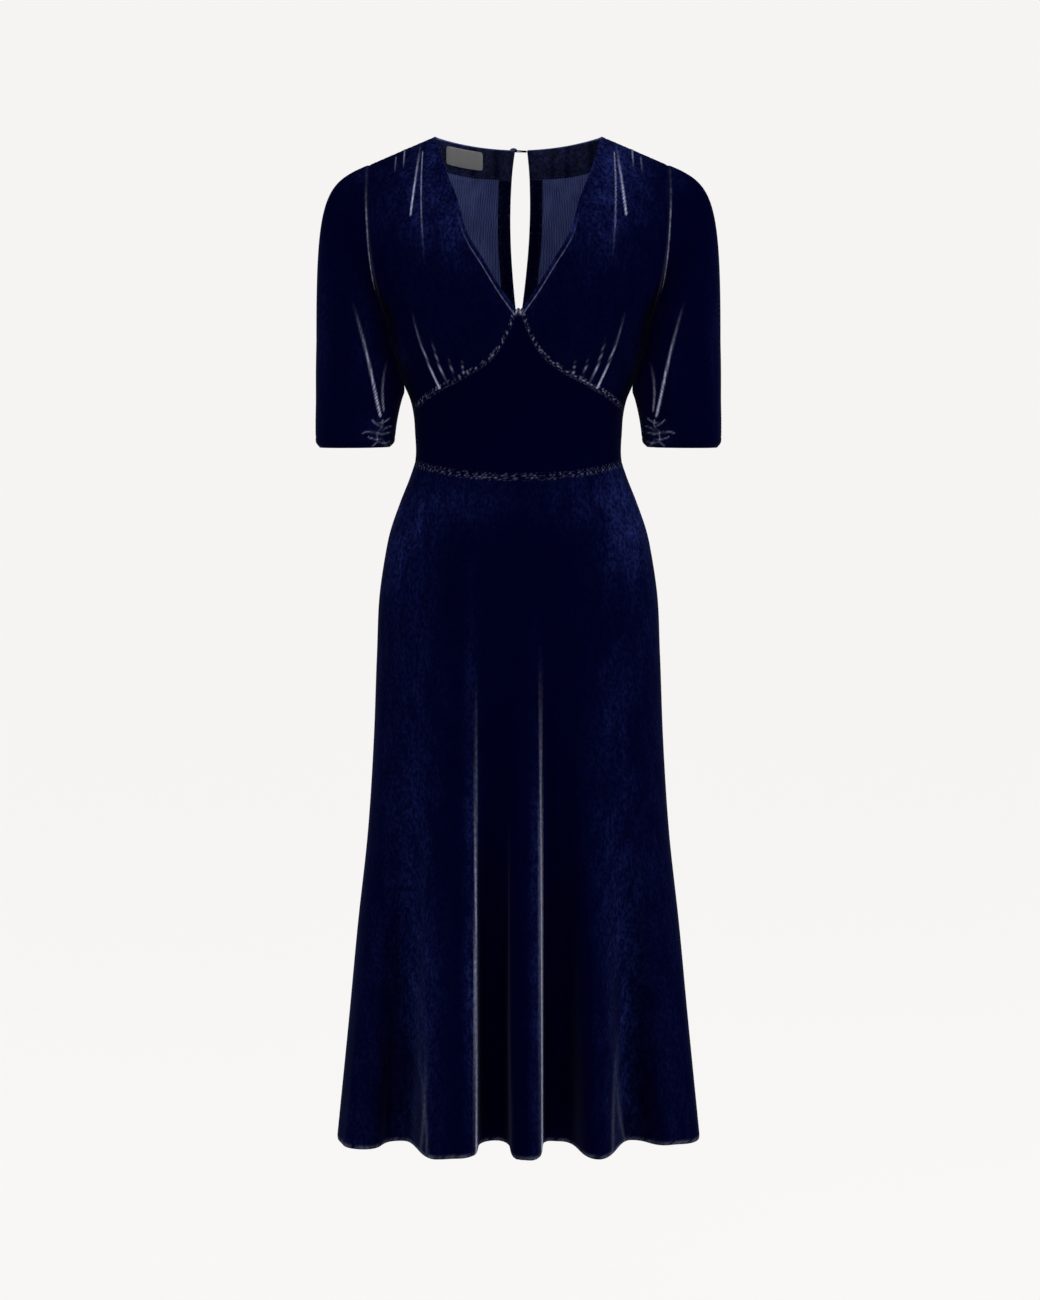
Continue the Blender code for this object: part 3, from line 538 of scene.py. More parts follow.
velvet, tree, shader, coordinates = new_material("velvet")
pile_here = link_group(tree, pile, coordinates.outputs["Object"])
painted = add(tree, "Attribute", attribute_name="leaning")
highlight_attribute = add(tree, "Attribute", attribute_name="shine")
grain = number(tree, "ADD", number(tree, "MULTIPLY", pile_here.outputs["Grain"], 0.85), 0.15)
uneven = number(tree, "ADD", number(tree, "MULTIPLY", pile_here.outputs["Leaning"], 0.8), 0.2)
# Where the first painted value is high the base turns lighter blue: partly the pile's own patches, partly
# painted sheen glow, broken up by noise and grain.
leaning = number(tree, "MULTIPLY", number(tree, "MULTIPLY", painted.outputs["Fac"], uneven), grain)
# The second painted value mixes the colour towards the pale painted highlight, a little uneven.
even = number(tree, "ADD", number(tree, "MULTIPLY", pile_here.outputs["Grain"], 0.5), 0.5)
shining = number(tree, "MULTIPLY", highlight_attribute.outputs["Fac"], even)
patch_and_sheen_colour = mix_colour(tree, leaning, PILE_DEEP, PILE_PATCH_AND_SHEEN_BLUE)
highlight_mix = add(tree, "Mix", data_type="RGBA")
tree.links.new(shining, highlight_mix.inputs["Factor"])
tree.links.new(patch_and_sheen_colour, highlight_mix.inputs[6])
highlight_mix.inputs[7].default_value = (*PAINTED_HIGHLIGHT_COLOUR, 1)
tree.links.new(highlight_mix.outputs[2], shader.inputs["Base Color"])
bumped(tree, shader, pile_here.outputs["Height"], 0.35, 0.0006)
shader.inputs["Roughness"].default_value = 1.0
shader.inputs["Specular IOR Level"].default_value = 0.0
shader.inputs["Sheen Weight"].default_value = 0.035
shader.inputs["Sheen Roughness"].default_value = 0.3
shader.inputs["Sheen Tint"].default_value = (0.50, 0.56, 0.95, 1)

# %% [markdown]
# The wrong side shows the ground weave instead of the pile: a matt, lighter blue with fine
# ribs three millimetres apart, drawn from the cloth's own UV so that they run down the panel.

# %% Velvet, wrong side
GROUND_DEEP = (0.014, 0.020, 0.085)
GROUND_RIB = (0.066, 0.088, 0.235)

wrong_side, tree, shader, coordinates = new_material("velvet_wrong_side")
ribs = add(tree, "TexWave", wave_type="BANDS", bands_direction="X", wave_profile="SIN")
ribs.inputs["Scale"].default_value = 95.0
ribs.inputs["Distortion"].default_value = 5.0
ribs.inputs["Detail"].default_value = 2.0
tree.links.new(coordinates.outputs["UV"], ribs.inputs["Vector"])
pile_here = link_group(tree, pile, coordinates.outputs["Object"])
shade = number(tree, "ADD", number(tree, "MULTIPLY", ribs.outputs["Fac"], 0.55),
               number(tree, "MULTIPLY", pile_here.outputs["Leaning"], 0.45))
tree.links.new(mix_colour(tree, shade, GROUND_DEEP, GROUND_RIB), shader.inputs["Base Color"])
bumped(tree, shader, ribs.outputs["Fac"], 0.35, 0.0004)
shader.inputs["Roughness"].default_value = 0.8
shader.inputs["Specular IOR Level"].default_value = 0.15

# %% [markdown]
# The label is a narrow satin ribbon: a smooth grey weave with a stitched border.

# %% Label weave
LABEL_DEEP = (0.11, 0.11, 0.113)
LABEL_THREAD = (0.27, 0.27, 0.275)

woven, tree, shader, coordinates = new_material("label_weave")
weave = add(tree, "TexWave", wave_type="BANDS", bands_direction="DIAGONAL", wave_profile="SIN")
weave.inputs["Scale"].default_value = 420.0
tree.links.new(coordinates.outputs["UV"], weave.inputs["Vector"])
tree.links.new(mix_colour(tree, weave.outputs["Fac"], LABEL_DEEP, LABEL_THREAD), shader.inputs["Base Color"])
bumped(tree, shader, weave.outputs["Fac"], 0.3, 0.0002)
shader.inputs["Roughness"].default_value = 0.45
shader.inputs["Specular IOR Level"].default_value = 0.35
print("materials:", velvet.name, wrong_side.name, woven.name)


def paint(piece, name, values):
    """A value between 0 and 1 for each of a piece's points."""
    layer = piece.data.attributes.new(name, "FLOAT", "POINT")
    layer.data.foreach_set("value", np.clip(values, 0, 1).astype(np.float32))


def dress(piece, form, leaning, shine, outside=velvet, inside=wrong_side):
    """Give a piece its two materials, and paint its lighter blue, the pile's patches and painted sheen glow,
    and its painted highlights.
    """
    piece.data.materials.append(outside)
    piece.data.materials.append(inside)
    for name, values in (("leaning", leaning), ("shine", shine)):
        face = np.broadcast_to(np.asarray(values, float), form.shape[:2]).ravel()
        paint(piece, name, np.concatenate([face, face]))


# %% [markdown]
# ## The seams' lines
#
# The panels meet along shared lines, each given by a few places in millimetres: how far
# across and how far down. One smooth curve through them serves both neighbours.

# %% Seam lines
Place = namedtuple("Place", "across drop")
UNDERBUST_SEAM = [
    Place(2.5, 203.5),
    Place(9, 224),
    Place(16, 239),
    Place(27, 255),
    Place(46, 270),
    Place(69, 283),
    Place(100, 300),
    Place(122.5, 318),
]
NECKLINE = [
    Place(2.5, 203.5),
    Place(19.5, 180),
    Place(39, 148),
    Place(58, 116),
    Place(70, 76),
    Place(83, 43),
    Place(97, 0),
]
ARMHOLE = [
    Place(156.5, 210),
    Place(164, 182),
    Place(171.5, 134),
    Place(174.5, 80),
    Place(174, 33),
]
MIDRIFF_TIP = 201.5 * MM
UNDERARM_DROP = 210 * MM
WAIST_SIDE = 380 * MM
WAIST_DIP_FRONT = 14 * MM
WAIST_DIP_BACK = 5 * MM
HEM_DROP = 1166 * MM
HEM_HALF_WIDTH = 212 * MM
BACK_NECK_DROP = 11.5 * MM
BACK_NECK_POWER = 2.2
STEP = 1e-6                     # for slopes, in radians or metres
SIDES = ((1, "left"), (-1, "right"))


def line_through(places, shares):
    """Across and drop at shares of the length of the smooth curve through the places."""
    corners = np.stack([column(places, "across"), column(places, "drop")], axis=-1)
    lengths = np.concatenate([[0], np.cumsum(np.hypot(*np.diff(corners, axis=0).T))])
    at = np.asarray(shares) * lengths[-1]
    return smooth(at, lengths, corners[:, 0]), smooth(at, lengths, corners[:, 1])


def normals_of(surface, t, drop):
    """Outward normals of a surface, from its slopes along t and along the drop."""
    along_t = surface(t + STEP, drop) - surface(t - STEP, drop)
    along_drop = surface(t, drop + STEP) - surface(t, drop)
    return unit(np.cross(along_drop, along_t))


def on_plane(normals, axis):
    """Normals laid into a seam's own plane, so that both panels share them."""
    normals = normals.copy()
    normals[..., axis] = 0
    return unit(normals)


def mirrored(points, side):
    """The same points on the given side of the middle: 1 for +X and -1 for -X."""
    return points * np.array([side, 1, 1])


UNDERARM_SHARE = 1 / 3


def side_and_armhole(shares, bottom_drop, behind):
    """The (t, drop) points up the side seam from a drop, and on up the armhole."""
    on_side = shares <= UNDERARM_SHARE
    side_drop = bottom_drop + (UNDERARM_DROP - bottom_drop) * shares / UNDERARM_SHARE
    f = np.clip((shares - UNDERARM_SHARE) / (1 - UNDERARM_SHARE), 0, 1)
    across, drop = line_through(ARMHOLE, (1 - np.cos(math.pi * f)) / 2)
    t = np.where(on_side, QUARTER, turn_at(across, drop, behind))
    return np.stack([t, np.where(on_side, side_drop, drop)], axis=-1)


def underbust_edge(shares):
    """The (t, drop) points of the seam under the bust, from the middle to the side."""
    across, drop = line_through(UNDERBUST_SEAM, shares)
    t = turn_at(across, drop)
    t[-1] = QUARTER
    return np.stack([t, drop], axis=-1)


def shoulder_edge(start, shares, behind):
    """The (t, drop) points of the shoulder seam from a distance across to its tip."""
    across = start + (SHOULDER_TIP - start) * shares
    drop = seam_drop(across)
    return np.stack([turn_at(across, drop, behind), drop], axis=-1)


def waist_drop(t):
    """Drop of the waist seam, which dips a little at centre front and centre back."""
    dip = np.where(np.cos(t) >= 0, WAIST_DIP_FRONT, WAIST_DIP_BACK)
    return WAIST_SIDE + dip * np.cos(t) ** 2


def edge_shares(count, crowding):
    """Shares from 0 to 1 for a panel's rows, crowded at the ends, one exactly at the underarm."""
    shares = crowded(count, crowding)
    shares[np.argmin(np.abs(shares - UNDERARM_SHARE))] = UNDERARM_SHARE
    return shares


# %% [markdown]
# ## The bust halves
#
# Each half of the front is laid in pleats at the shoulder and gathered into the curved seam
# under the bust. The pleats fan out down the chest and the gathers fan out and up towards
# the underarm. The neck edge is turned under and stitched, which draws a fine line beside it.

# %% Bust halves
FRONT_CREASES = [
    Crease(123, 94, 113, 6, 0, 2.2, 1.5),
    Crease(111, 20, 106, 155, -2.5, 1.7, 0.7),
    Crease(112, 20, 115, 118, 0, 3.2, -2.2),
    Crease(132, 18, 133, 42, 0, 1.6, 0.7),
    Crease(142, 26, 143, 47, 0, 1.6, 0.4),
    Crease(90, 293, 123, 200, 3, 1.7, 1.0),
    Crease(81, 289, 100, 232, 2, 1.6, 0.9),
    Crease(71, 284, 80, 256, 1, 1.5, 0.8),
    Crease(62, 279, 65, 258, 0, 1.4, 0.6),
    Crease(86, 291, 108, 226, 3, 3.0, -1.5),
    Crease(76, 286, 89, 250, 2, 2.2, -1.1),
]
# Painted sheen glows on each half of the front, as soft patches.
FRONT_SHEEN_GLOWS = [
    Patch(112, 50, 24, 60, 0.7),        # beside the pleats
    Patch(142, 272, 10, 26, 0.85),      # under the arm
    Patch(78, 100, 36, 42, 0.75),       # on the chest
    Patch(150, 60, 30, 40, 0.25),
    Patch(90, 20, 30, 30, 0.4),
]
FRONT_ROWS, FRONT_COLUMNS = 150, 130


def bodice_front(name, side):
    """One gathered half of the front, from the shoulder to the seam under the bust."""
    v = edge_shares(FRONT_ROWS + 1, 0.7)
    u = crowded(FRONT_COLUMNS + 1, 0.6)
    outer = side_and_armhole(v, UNDERBUST_SEAM[-1].drop * MM, False)
    across, drop = line_through(NECKLINE, np.sin(v * QUARTER))
    inner = np.stack([turn_at(across, drop), drop], axis=-1)
    grid = patch(underbust_edge(u), shoulder_edge(NECK_POINT, u, False), inner, outer, u, v)
    t, drop = grid[..., 0], grid[..., 1]
    form = body_point(t, drop)
    normals = normals_of(body_point, t, drop)
    normals[-1] = on_plane(normals[-1], 1)
    on_side = v <= UNDERARM_SHARE
    normals[on_side, -1] = on_plane(normals[on_side, -1], 1)
    below, above, near_neck, near_arm = from_edges(form)
    x = form[..., 0]
    gathers = ripple(x, 5.5 * MM, 2.0 + side) * np.exp(-below / (9 * MM)) * 0.55 * MM
    relief = creases(FRONT_CREASES, x, drop)
    relief += gathers * (1 - np.exp(-below / (1.5 * MM)))
    relief += sewn(below, near_neck, 1.0 + side)
    relief += sewn(above, near_neck, 2.2 + side, pucker=0.3)
    relief += sewn(near_arm, below, 0.4 + side, depth=1.1, pucker=0.3)
    relief += turned(near_neck, below, 3.0 + side)
    # Painted sheen glow: the patches and a band along the turned neck edge, over a faint even tint.
    leaning = 0.06 + patches(FRONT_SHEEN_GLOWS, x, drop) + 0.7 * np.exp(-near_neck / (5 * MM))
    low = np.clip((drop - 0.09) / 0.08, 0, 1)
    # Painted highlights: crease crests, flecks beside the seams, and a line along the neck's stitching from
    # halfway down.
    shine = crest_highlights(FRONT_CREASES, x, drop) + seam_highlight_flecks(below, near_neck, side)
    shine = shine + 0.16 * low * glint(near_neck, 6.5, 0.7)
    shine = shine + 0.55 * seam_highlight_flecks(above, near_neck, 0.7 + side)
    piece = cloth(name, mirrored(form, side), relief, mirrored(normals, side))
    dress(piece, form, leaning, shine)
    return piece


for side, word in SIDES:
    bodice_front(f"fine_bodice_front_{word}", side)

# %% [markdown]
# ## The midriff
#
# The fitted band under the bust is cut plain. Its top follows both bust seams and rises to
# a narrow point at the foot of the neckline, and its lower edge is the front waist seam.

# %% Midriff
MIDRIFF_ROWS, MIDRIFF_HALF = 60, 100


def midriff_front():
    """The fitted panel that rises to a narrow point between the halves of the bust."""
    seam = underbust_edge(np.linspace(0, 1, MIDRIFF_HALF))
    tip = np.array([[0, MIDRIFF_TIP]])
    top = np.concatenate([seam[::-1] * [-1, 1], tip, seam])
    waist_t = np.linspace(-QUARTER, QUARTER, len(top))
    bottom = np.stack([waist_t, waist_drop(waist_t)], axis=-1)
    v = crowded(MIDRIFF_ROWS + 1, 0.8)[:, None, None]
    grid = (1 - v) * bottom[None] + v * top[None]
    t, drop = grid[..., 0], grid[..., 1]
    form = body_point(t, drop)
    normals = normals_of(body_point, t, drop)
    for edge in (0, -1):
        normals[:, edge] = on_plane(normals[:, edge], 1)
    below, above, left, right = from_edges(form)
    relief = sewn(below, left, 5.1) + sewn(above, left, 6.3)
    relief += sewn(left, below, 0.8, pucker=0.2) + sewn(right, below, 1.7, pucker=0.2)
    # Painted sheen glow at the sides; painted highlight flecks at the seams and a bright spot at the tip.
    leaning = 0.45 * bell(np.abs(form[..., 0]), drop, 124, 340, 9, 40)
    shine = 0.35 * seam_highlight_flecks(below, left, 2.0) + 0.45 * seam_highlight_flecks(above, left, 4.0)
    shine = shine + 0.45 * bell(np.abs(form[..., 0]), drop, 2.5, 206, 1.6, 2.5)
    piece = cloth("fine_midriff_front", form, relief, normals)
    dress(piece, form, leaning, shine)
    return piece


midriff_front()

# %% [markdown]
# ## The back, with its keyhole
#
# Two plain halves meet in a centre back seam below a long keyhole. The top corners of the
# keyhole are held together by a button and a loop.

# %% Back halves
Gap = namedtuple("Gap", "drop half_gap")
KEYHOLE = [
    Gap(8, 7.2),
    Gap(30, 9.8),
    Gap(75, 11.6),
    Gap(115, 11.0),
    Gap(155, 8.3),
    Gap(190, 4.8),
    Gap(215, 1.8),
    Gap(228, 0.15),
]
KEYHOLE_END = 228 * MM
KEYHOLE_LEAN = 3.2 * MM
BACK_ROWS, BACK_COLUMNS = 130, 104
NECK_SHARE = 0.55               # of a half's top edge; the shoulder seam has the rest
# Painted sheen glows on each half of the back.
BACK_SHEEN_GLOWS = [
    Patch(100, 90, 45, 60, 0.5),        # on the shoulder blade
    Patch(120, 300, 30, 60, 0.5),       # at the side
]


def keyhole_edge(drop, side):
    """Distance across from the middle to the keyhole's edge on one side, at each drop."""
    half_gap = smooth(drop, column(KEYHOLE, "drop"), column(KEYHOLE, "half_gap"))
    lean = side * KEYHOLE_LEAN * np.clip(1 - drop / KEYHOLE_END, 0, 1)
    return np.where(drop < KEYHOLE_END, half_gap + lean, 0.0)


def back_neck(shares, side):
    """Distance across and drop of the back neck edge, from the keyhole to the shoulder."""
    start = keyhole_edge(np.array(BACK_NECK_DROP), side)
    across = start + (NECK_POINT - start) * np.asarray(shares)
    return across, BACK_NECK_DROP * (1 - (across / NECK_POINT) ** BACK_NECK_POWER)


def bodice_back(name, side):
    """One half of the back, from the neck and shoulder to the waist, beside the keyhole."""
    v = edge_shares(BACK_ROWS + 1, 0.6)
    u = crowded(BACK_COLUMNS + 1, 0.5)
    u[np.argmin(np.abs(u - NECK_SHARE))] = NECK_SHARE
    outer = side_and_armhole(v, WAIST_SIDE, True)
    on_neck = u <= NECK_SHARE
    across, drop = back_neck(np.minimum(u / NECK_SHARE, 1), side)
    neck = np.stack([turn_at(across, drop, True), drop], axis=-1)
    shoulder = shoulder_edge(NECK_POINT, np.clip((u - NECK_SHARE) / (1 - NECK_SHARE), 0, 1), True)
    top = np.where(on_neck[:, None], neck, shoulder)
    climb = np.sin(QUARTER * np.clip((v - UNDERARM_SHARE) / (1 - UNDERARM_SHARE), 0, 1))
    foot_drop = WAIST_SIDE + WAIST_DIP_BACK
    inner_drop = foot_drop + (KEYHOLE_END - foot_drop) * np.minimum(v / UNDERARM_SHARE, 1)
    inner_drop = inner_drop + (neck[0, 1] - KEYHOLE_END) * climb
    inner = np.stack([turn_at(keyhole_edge(inner_drop, side), inner_drop, True), inner_drop], axis=-1)
    waist_t = inner[0, 0] + (QUARTER - inner[0, 0]) * u
    bottom = np.stack([waist_t, waist_drop(waist_t)], axis=-1)
    grid = patch(bottom, top, inner, outer, u, v)
    t, drop = grid[..., 0], grid[..., 1]
    form = body_point(t, drop)
    normals = normals_of(body_point, t, drop)
    normals[-1, ~on_neck] = on_plane(normals[-1, ~on_neck], 1)
    on_side = v <= UNDERARM_SHARE
    normals[on_side, -1] = on_plane(normals[on_side, -1], 1)
    normals[:, 0] = on_plane(normals[:, 0], 0)
    below, above, near_middle, near_arm = from_edges(form)
    on_seam = np.clip((drop - KEYHOLE_END) / (8 * MM), 0, 1)
    on_shoulder = np.clip((form[..., 0] - NECK_POINT) / (6 * MM), 0, 1)
    relief = sewn(below, near_middle, 3.4 + side)
    relief += sewn(near_arm, below, 2.1 + side, depth=1.1, pucker=0.3)
    relief += on_seam * sewn(near_middle, below, 1.9, pucker=0.25)
    relief += (1 - on_seam) * turned(near_middle, below, 2.9)
    relief += on_shoulder * sewn(above, near_middle, 4.4, pucker=0.25)
    relief += (1 - on_shoulder) * turned(above, near_middle, 5.0)
    x = form[..., 0]
    # Painted sheen glow in patches over a faint even tint; painted highlight flecks at the seams and a line
    # along the keyhole's stitching.
    leaning = 0.08 + patches(BACK_SHEEN_GLOWS, x, drop)
    shine = 0.5 * seam_highlight_flecks(near_arm, below, 1.0 + side) + 0.4 * seam_highlight_flecks(below, near_middle, 3.0)
    shine = shine + 0.4 * on_seam * seam_highlight_flecks(near_middle, below, 2.0)
    shine = shine + 0.4 * (1 - on_seam) * glint(near_middle, 6.5, 1.0)
    piece = cloth(name, mirrored(form, side), relief, mirrored(normals, side))
    dress(piece, form, leaning, shine)
    return piece


for side, word in SIDES:
    bodice_back(f"fine_bodice_back_{word}", side)

# %% [markdown]
# ## Facings, inside the back
#
# The back neck and the keyhole are faced with strips of the same velvet, turned to the
# inside and stitched down, so that the pile shows through the open neck. A faced edge lies
# a little uneven, and a fine painted highlight runs along the neck facing's lower edge and
# the keyhole strips' edges.

# %% Facings and label
BACK_WALL = 1.6 * MM
FACING_WALL = 1.2 * MM
LAYER_GAP = 1.2 * MM
STRIP_GAP = 1.7 * MM            # behind the keyhole's strips, and behind the label
NECK_FACING_DEPTH = 33 * MM
KEYHOLE_FACING_WIDTH = 15 * MM
KEYHOLE_FACING_END = 238 * MM
# Lighter patches on the neck facing.
FACING_LIGHTER_PATCHES = [
    Patch(50, 20, 22, 10, 0.4),
    Patch(12, 28, 8, 16, 0.5),          # at the keyhole's corner
]
LABEL_NEAR, LABEL_FAR = 43 * MM, 86 * MM
LABEL_TOP, LABEL_BOTTOM = 4 * MM, 25 * MM


def inner_layer(name, t, drop, side, depth, relief, wall):
    """A thin layer inside the back: points moved in by a depth, right side to the inside."""
    normals = normals_of(body_point, t, drop)
    form = body_point(t, drop) - (depth + wall) * normals
    return cloth(name, mirrored(form, side), relief, mirrored(-normals, side), wall=wall)


def neck_facing(name, side):
    """The velvet band inside the back neck, from the keyhole to the shoulder seam."""
    shares = np.linspace(0, 1, 101)
    across, drop = back_neck(shares, side)
    end = np.linspace(NECK_POINT + NECK_FACING_DEPTH, NECK_POINT, 34)
    outer = np.stack([turn_at(end, seam_drop(end), True), seam_drop(end)], axis=-1)
    top = np.stack([turn_at(across, drop, True), drop], axis=-1)
    low_drop = drop[0] + NECK_FACING_DEPTH
    low_start = keyhole_edge(low_drop, side)
    low_across = low_start + (end[0] - low_start) * np.sin(shares * QUARTER)
    sweep = (low_across - low_start) / (end[0] - low_start)
    low_drop = low_drop + (outer[0, 1] - low_drop) * sweep ** 3
    bottom = np.stack([turn_at(low_across, low_drop, True), low_drop], axis=-1)
    side_drop = np.linspace(low_drop[0], drop[0], len(end))
    inner = np.stack([turn_at(keyhole_edge(side_drop, side), side_drop, True), side_drop], axis=-1)
    grid = patch(bottom, top, inner, outer, shares, np.linspace(0, 1, len(end)))
    t, drop = grid[..., 0], grid[..., 1]
    form = body_point(t, drop)
    below, above = from_edges(form)[:2]
    x = form[..., 0]
    relief = 0.5 * MM * ripple(x + 0.4 * drop, 19 * MM, 2.0 + side) * bell(above, above, 14, 14, 12, 12)
    relief += turned(below, x, 1.0, hem=3.0, depth=0.3) + turned(above, x, 2.0, hem=4.0, depth=0.3)
    piece = inner_layer(name, t, drop, side, BACK_WALL + LAYER_GAP, relief, FACING_WALL)
    # Lighter blue over most of the facing, uneven across; a faint painted highlight that follows it, and
    # painted highlight flecks along the lower edge.
    leaning = 0.75 + 0.45 * ripple(x, 24 * MM, 3.3 + side) + patches(FACING_LIGHTER_PATCHES, x, drop)
    dress(piece, form, leaning, 0.02 * leaning + 0.15 * seam_highlight_flecks(below, x, 2.0))
    return piece


def keyhole_facing(name, side):
    """The velvet strip inside one side of the keyhole, below the neck facing."""
    top_drop = BACK_NECK_DROP + NECK_FACING_DEPTH + 0.3 * MM
    drop = np.linspace(KEYHOLE_FACING_END, top_drop, 130)[:, None]
    across = keyhole_edge(drop, side) + KEYHOLE_FACING_WIDTH * np.linspace(0, 1, 14)[None]
    drop = np.broadcast_to(drop, across.shape)
    t = turn_at(across, drop, True)
    edge = np.minimum(across - across[:, :1], across[:, -1:] - across)
    relief = -0.5 * MM * np.exp(-((edge / (0.9 * MM)) ** 2)) + 0.12 * MM * ripple(drop, 13 * MM, 4.0 + side)
    piece = inner_layer(name, t, drop, side, BACK_WALL + STRIP_GAP, relief, FACING_WALL)
    # Lighter blue all over, and painted highlight flecks along the strip's edges.
    dress(piece, across[..., None], 0.4, 0.15 * seam_highlight_flecks(edge, drop, 1.0 + side))
    return piece


def woven_label(name):
    """The plain woven label, stitched down on the neck facing on the wearer's right."""
    u, v = np.meshgrid(np.linspace(0, 1, 61), np.linspace(0, 1, 33))
    rounding = 1 - 0.06 * ((2 * u - 1) * (2 * v - 1)) ** 6
    u, v = 0.5 + (u - 0.5) * rounding, 0.5 + (v - 0.5) * rounding
    across = LABEL_NEAR + (LABEL_FAR - LABEL_NEAR) * u
    neck_drop = BACK_NECK_DROP * (1 - (across / NECK_POINT) ** BACK_NECK_POWER)
    drop = neck_drop + LABEL_BOTTOM + (LABEL_TOP - LABEL_BOTTOM) * v
    t = turn_at(across, drop, True)
    width, height = LABEL_FAR - LABEL_NEAR, LABEL_BOTTOM - LABEL_TOP
    edge = np.minimum(np.minimum(u, 1 - u) * width, np.minimum(v, 1 - v) * height)
    stitches = -0.25 * MM * np.exp(-(((edge - 1.3 * MM) / (0.5 * MM)) ** 2))
    relief = stitches * (1 + 0.5 * np.sin(2 * math.pi * (across + drop) / (2.2 * MM)))
    relief += 0.35 * MM * ripple(across, 30 * MM, 1.4)
    depth = BACK_WALL + FACING_WALL + STRIP_GAP
    piece = inner_layer(name, t, drop, -1, depth, relief, 1.0 * MM)
    dress(piece, across[..., None], 0, 0, outside=woven, inside=woven)
    return piece


for side, word in SIDES:
    neck_facing(f"fine_neck_facing_{word}", side)
for side, word in SIDES:
    keyhole_facing(f"fine_keyhole_facing_{word}", side)
woven_label("fine_label")

# %% [markdown]
# ## Sleeves
#
# Each sleeve is one tube. Its cap starts square to the armhole seam all round and turns over
# into the upper arm, as a row of curves, and below the underarm it hangs as near-round rings.
# Two long creases run up the front from the cuff, and a short thread on the inner side
# gathers the cuff into a ruche.

# %% Sleeves
Ring = namedtuple("Ring", "drop inner outer half_depth middle")
SLEEVE = [
    Ring(238, 144, 235, 60, -7),
    Ring(272, 134, 235.5, 60, -10),
    Ring(292, 131, 235.5, 59.5, -11),
    Ring(306, 135.5, 235.5, 59, -11),
    Ring(330, 141, 236, 58, -10),
    Ring(362, 145, 236, 57, -9),
]
SLEEVE_SQUARENESS = 2.3
CAP_RISE = 0.27
CAP_FALL = 0.78
UNDERARM_PULL = 0.45
BODY_CLEARANCE = 2.2 * MM
UNDERARM_FADE = 20 * MM
CUFF_ROUNDING = 4 * MM
SLEEVE_CREASES = [
    Crease(159, 324, 191, 190, -2, 2.6, 1.2),
    Crease(155, 318, 150, 258, 3, 2.4, 0.5),
    Crease(164, 322, 178, 256, -4, 3.2, -2.0),
]
BACK_SLEEVE_CREASES = [
    Crease(195, 345, 214, 250, 4, 7.0, 1.6),
    Crease(168, 330, 176, 240, -4, 6.0, 1.4),
]
# Painted sheen glows on the sleeve.
SLEEVE_SHEEN_GLOWS = [
    Patch(226, 230, 10, 80, 0.15),      # down the outer side
    Patch(172, 250, 16, 60, 0.12),
    Patch(178, 40, 22, 22, 0.35),       # on the cap
]
SLEEVE_HALF_ROUND, CAP_ROWS, LOWER_ROWS = 94, 80, 84
RUCHE_CREASES = [
    Crease(150, 328, 166, 333, 2, 1.8, 1.6),
    Crease(167, 330, 152, 338, -2, 1.6, 1.5),
    Crease(150, 344, 170, 340, 3, 2.0, 1.8),
    Crease(172, 349, 154, 350, -2, 1.8, 1.5),
    Crease(150, 355, 166, 352, 2, 1.8, 1.5),
    Crease(157, 330, 160, 344, 1, 1.6, 1.5),
    Crease(163, 352, 158, 338, 2, 1.6, 1.5),
    Crease(148, 337, 158, 345, -2, 1.6, 1.3),
    Crease(178, 344, 164, 346, 2, 2.2, 1.2),
    Crease(168, 359, 160, 350, -1, 1.6, 1.3),
    Crease(152, 360, 157, 350, 1, 1.6, 1.3),
]


def sleeve_ring(u, drop):
    """Point of the sleeve's lower part. u is 0 outside, a quarter turn in front."""
    drops = column(SLEEVE, "drop")
    inner, outer, half_depth, middle = (
        smooth(drop, drops, column(SLEEVE, name)) for name in ("inner", "outer", "half_depth", "middle")
    )
    power = 2 / SLEEVE_SQUARENESS
    x = (inner + outer) / 2 + (outer - inner) / 2 * signed_power(np.cos(u), power)
    y = middle - half_depth * signed_power(np.sin(u), power)
    return np.stack(np.broadcast_arrays(x, y, -drop), axis=-1)


def clear_of_body(points, clearance):
    """Push points across until they clear the side of the body, from the underarm down."""
    drop = -points[..., 2]
    below_underarm = np.clip((drop - UNDERARM_DROP) / UNDERARM_FADE + 0.5, 0, 1)
    half_width, front, back, squareness = sections(drop)
    depth = np.where(points[..., 1] < 0, front, back)
    body = half_width * superellipse(np.clip(points[..., 1] / depth, -1, 1), squareness)
    need = body + clearance - points[..., 0]
    softness = 2 * MM
    push = np.where(need > -softness, (need + softness) ** 2 / (4 * softness), 0)
    push = np.where(need > softness, need, push)
    moved = points.copy()
    moved[..., 0] += push * below_underarm
    return moved


def armhole_ring(behind, count):
    """Points and normals of the armhole from the shoulder tip to the underarm."""
    across, drop = line_through(ARMHOLE, np.sin(np.linspace(0, QUARTER, count + 1))[::-1])
    t = turn_at(across, drop, behind)
    t[-1] = QUARTER
    normals = normals_of(body_point, t, drop)
    normals[0] = on_plane(normals[0], 1)
    normals[-1] = on_plane(normals[-1], 1)
    return body_point(t, drop), normals


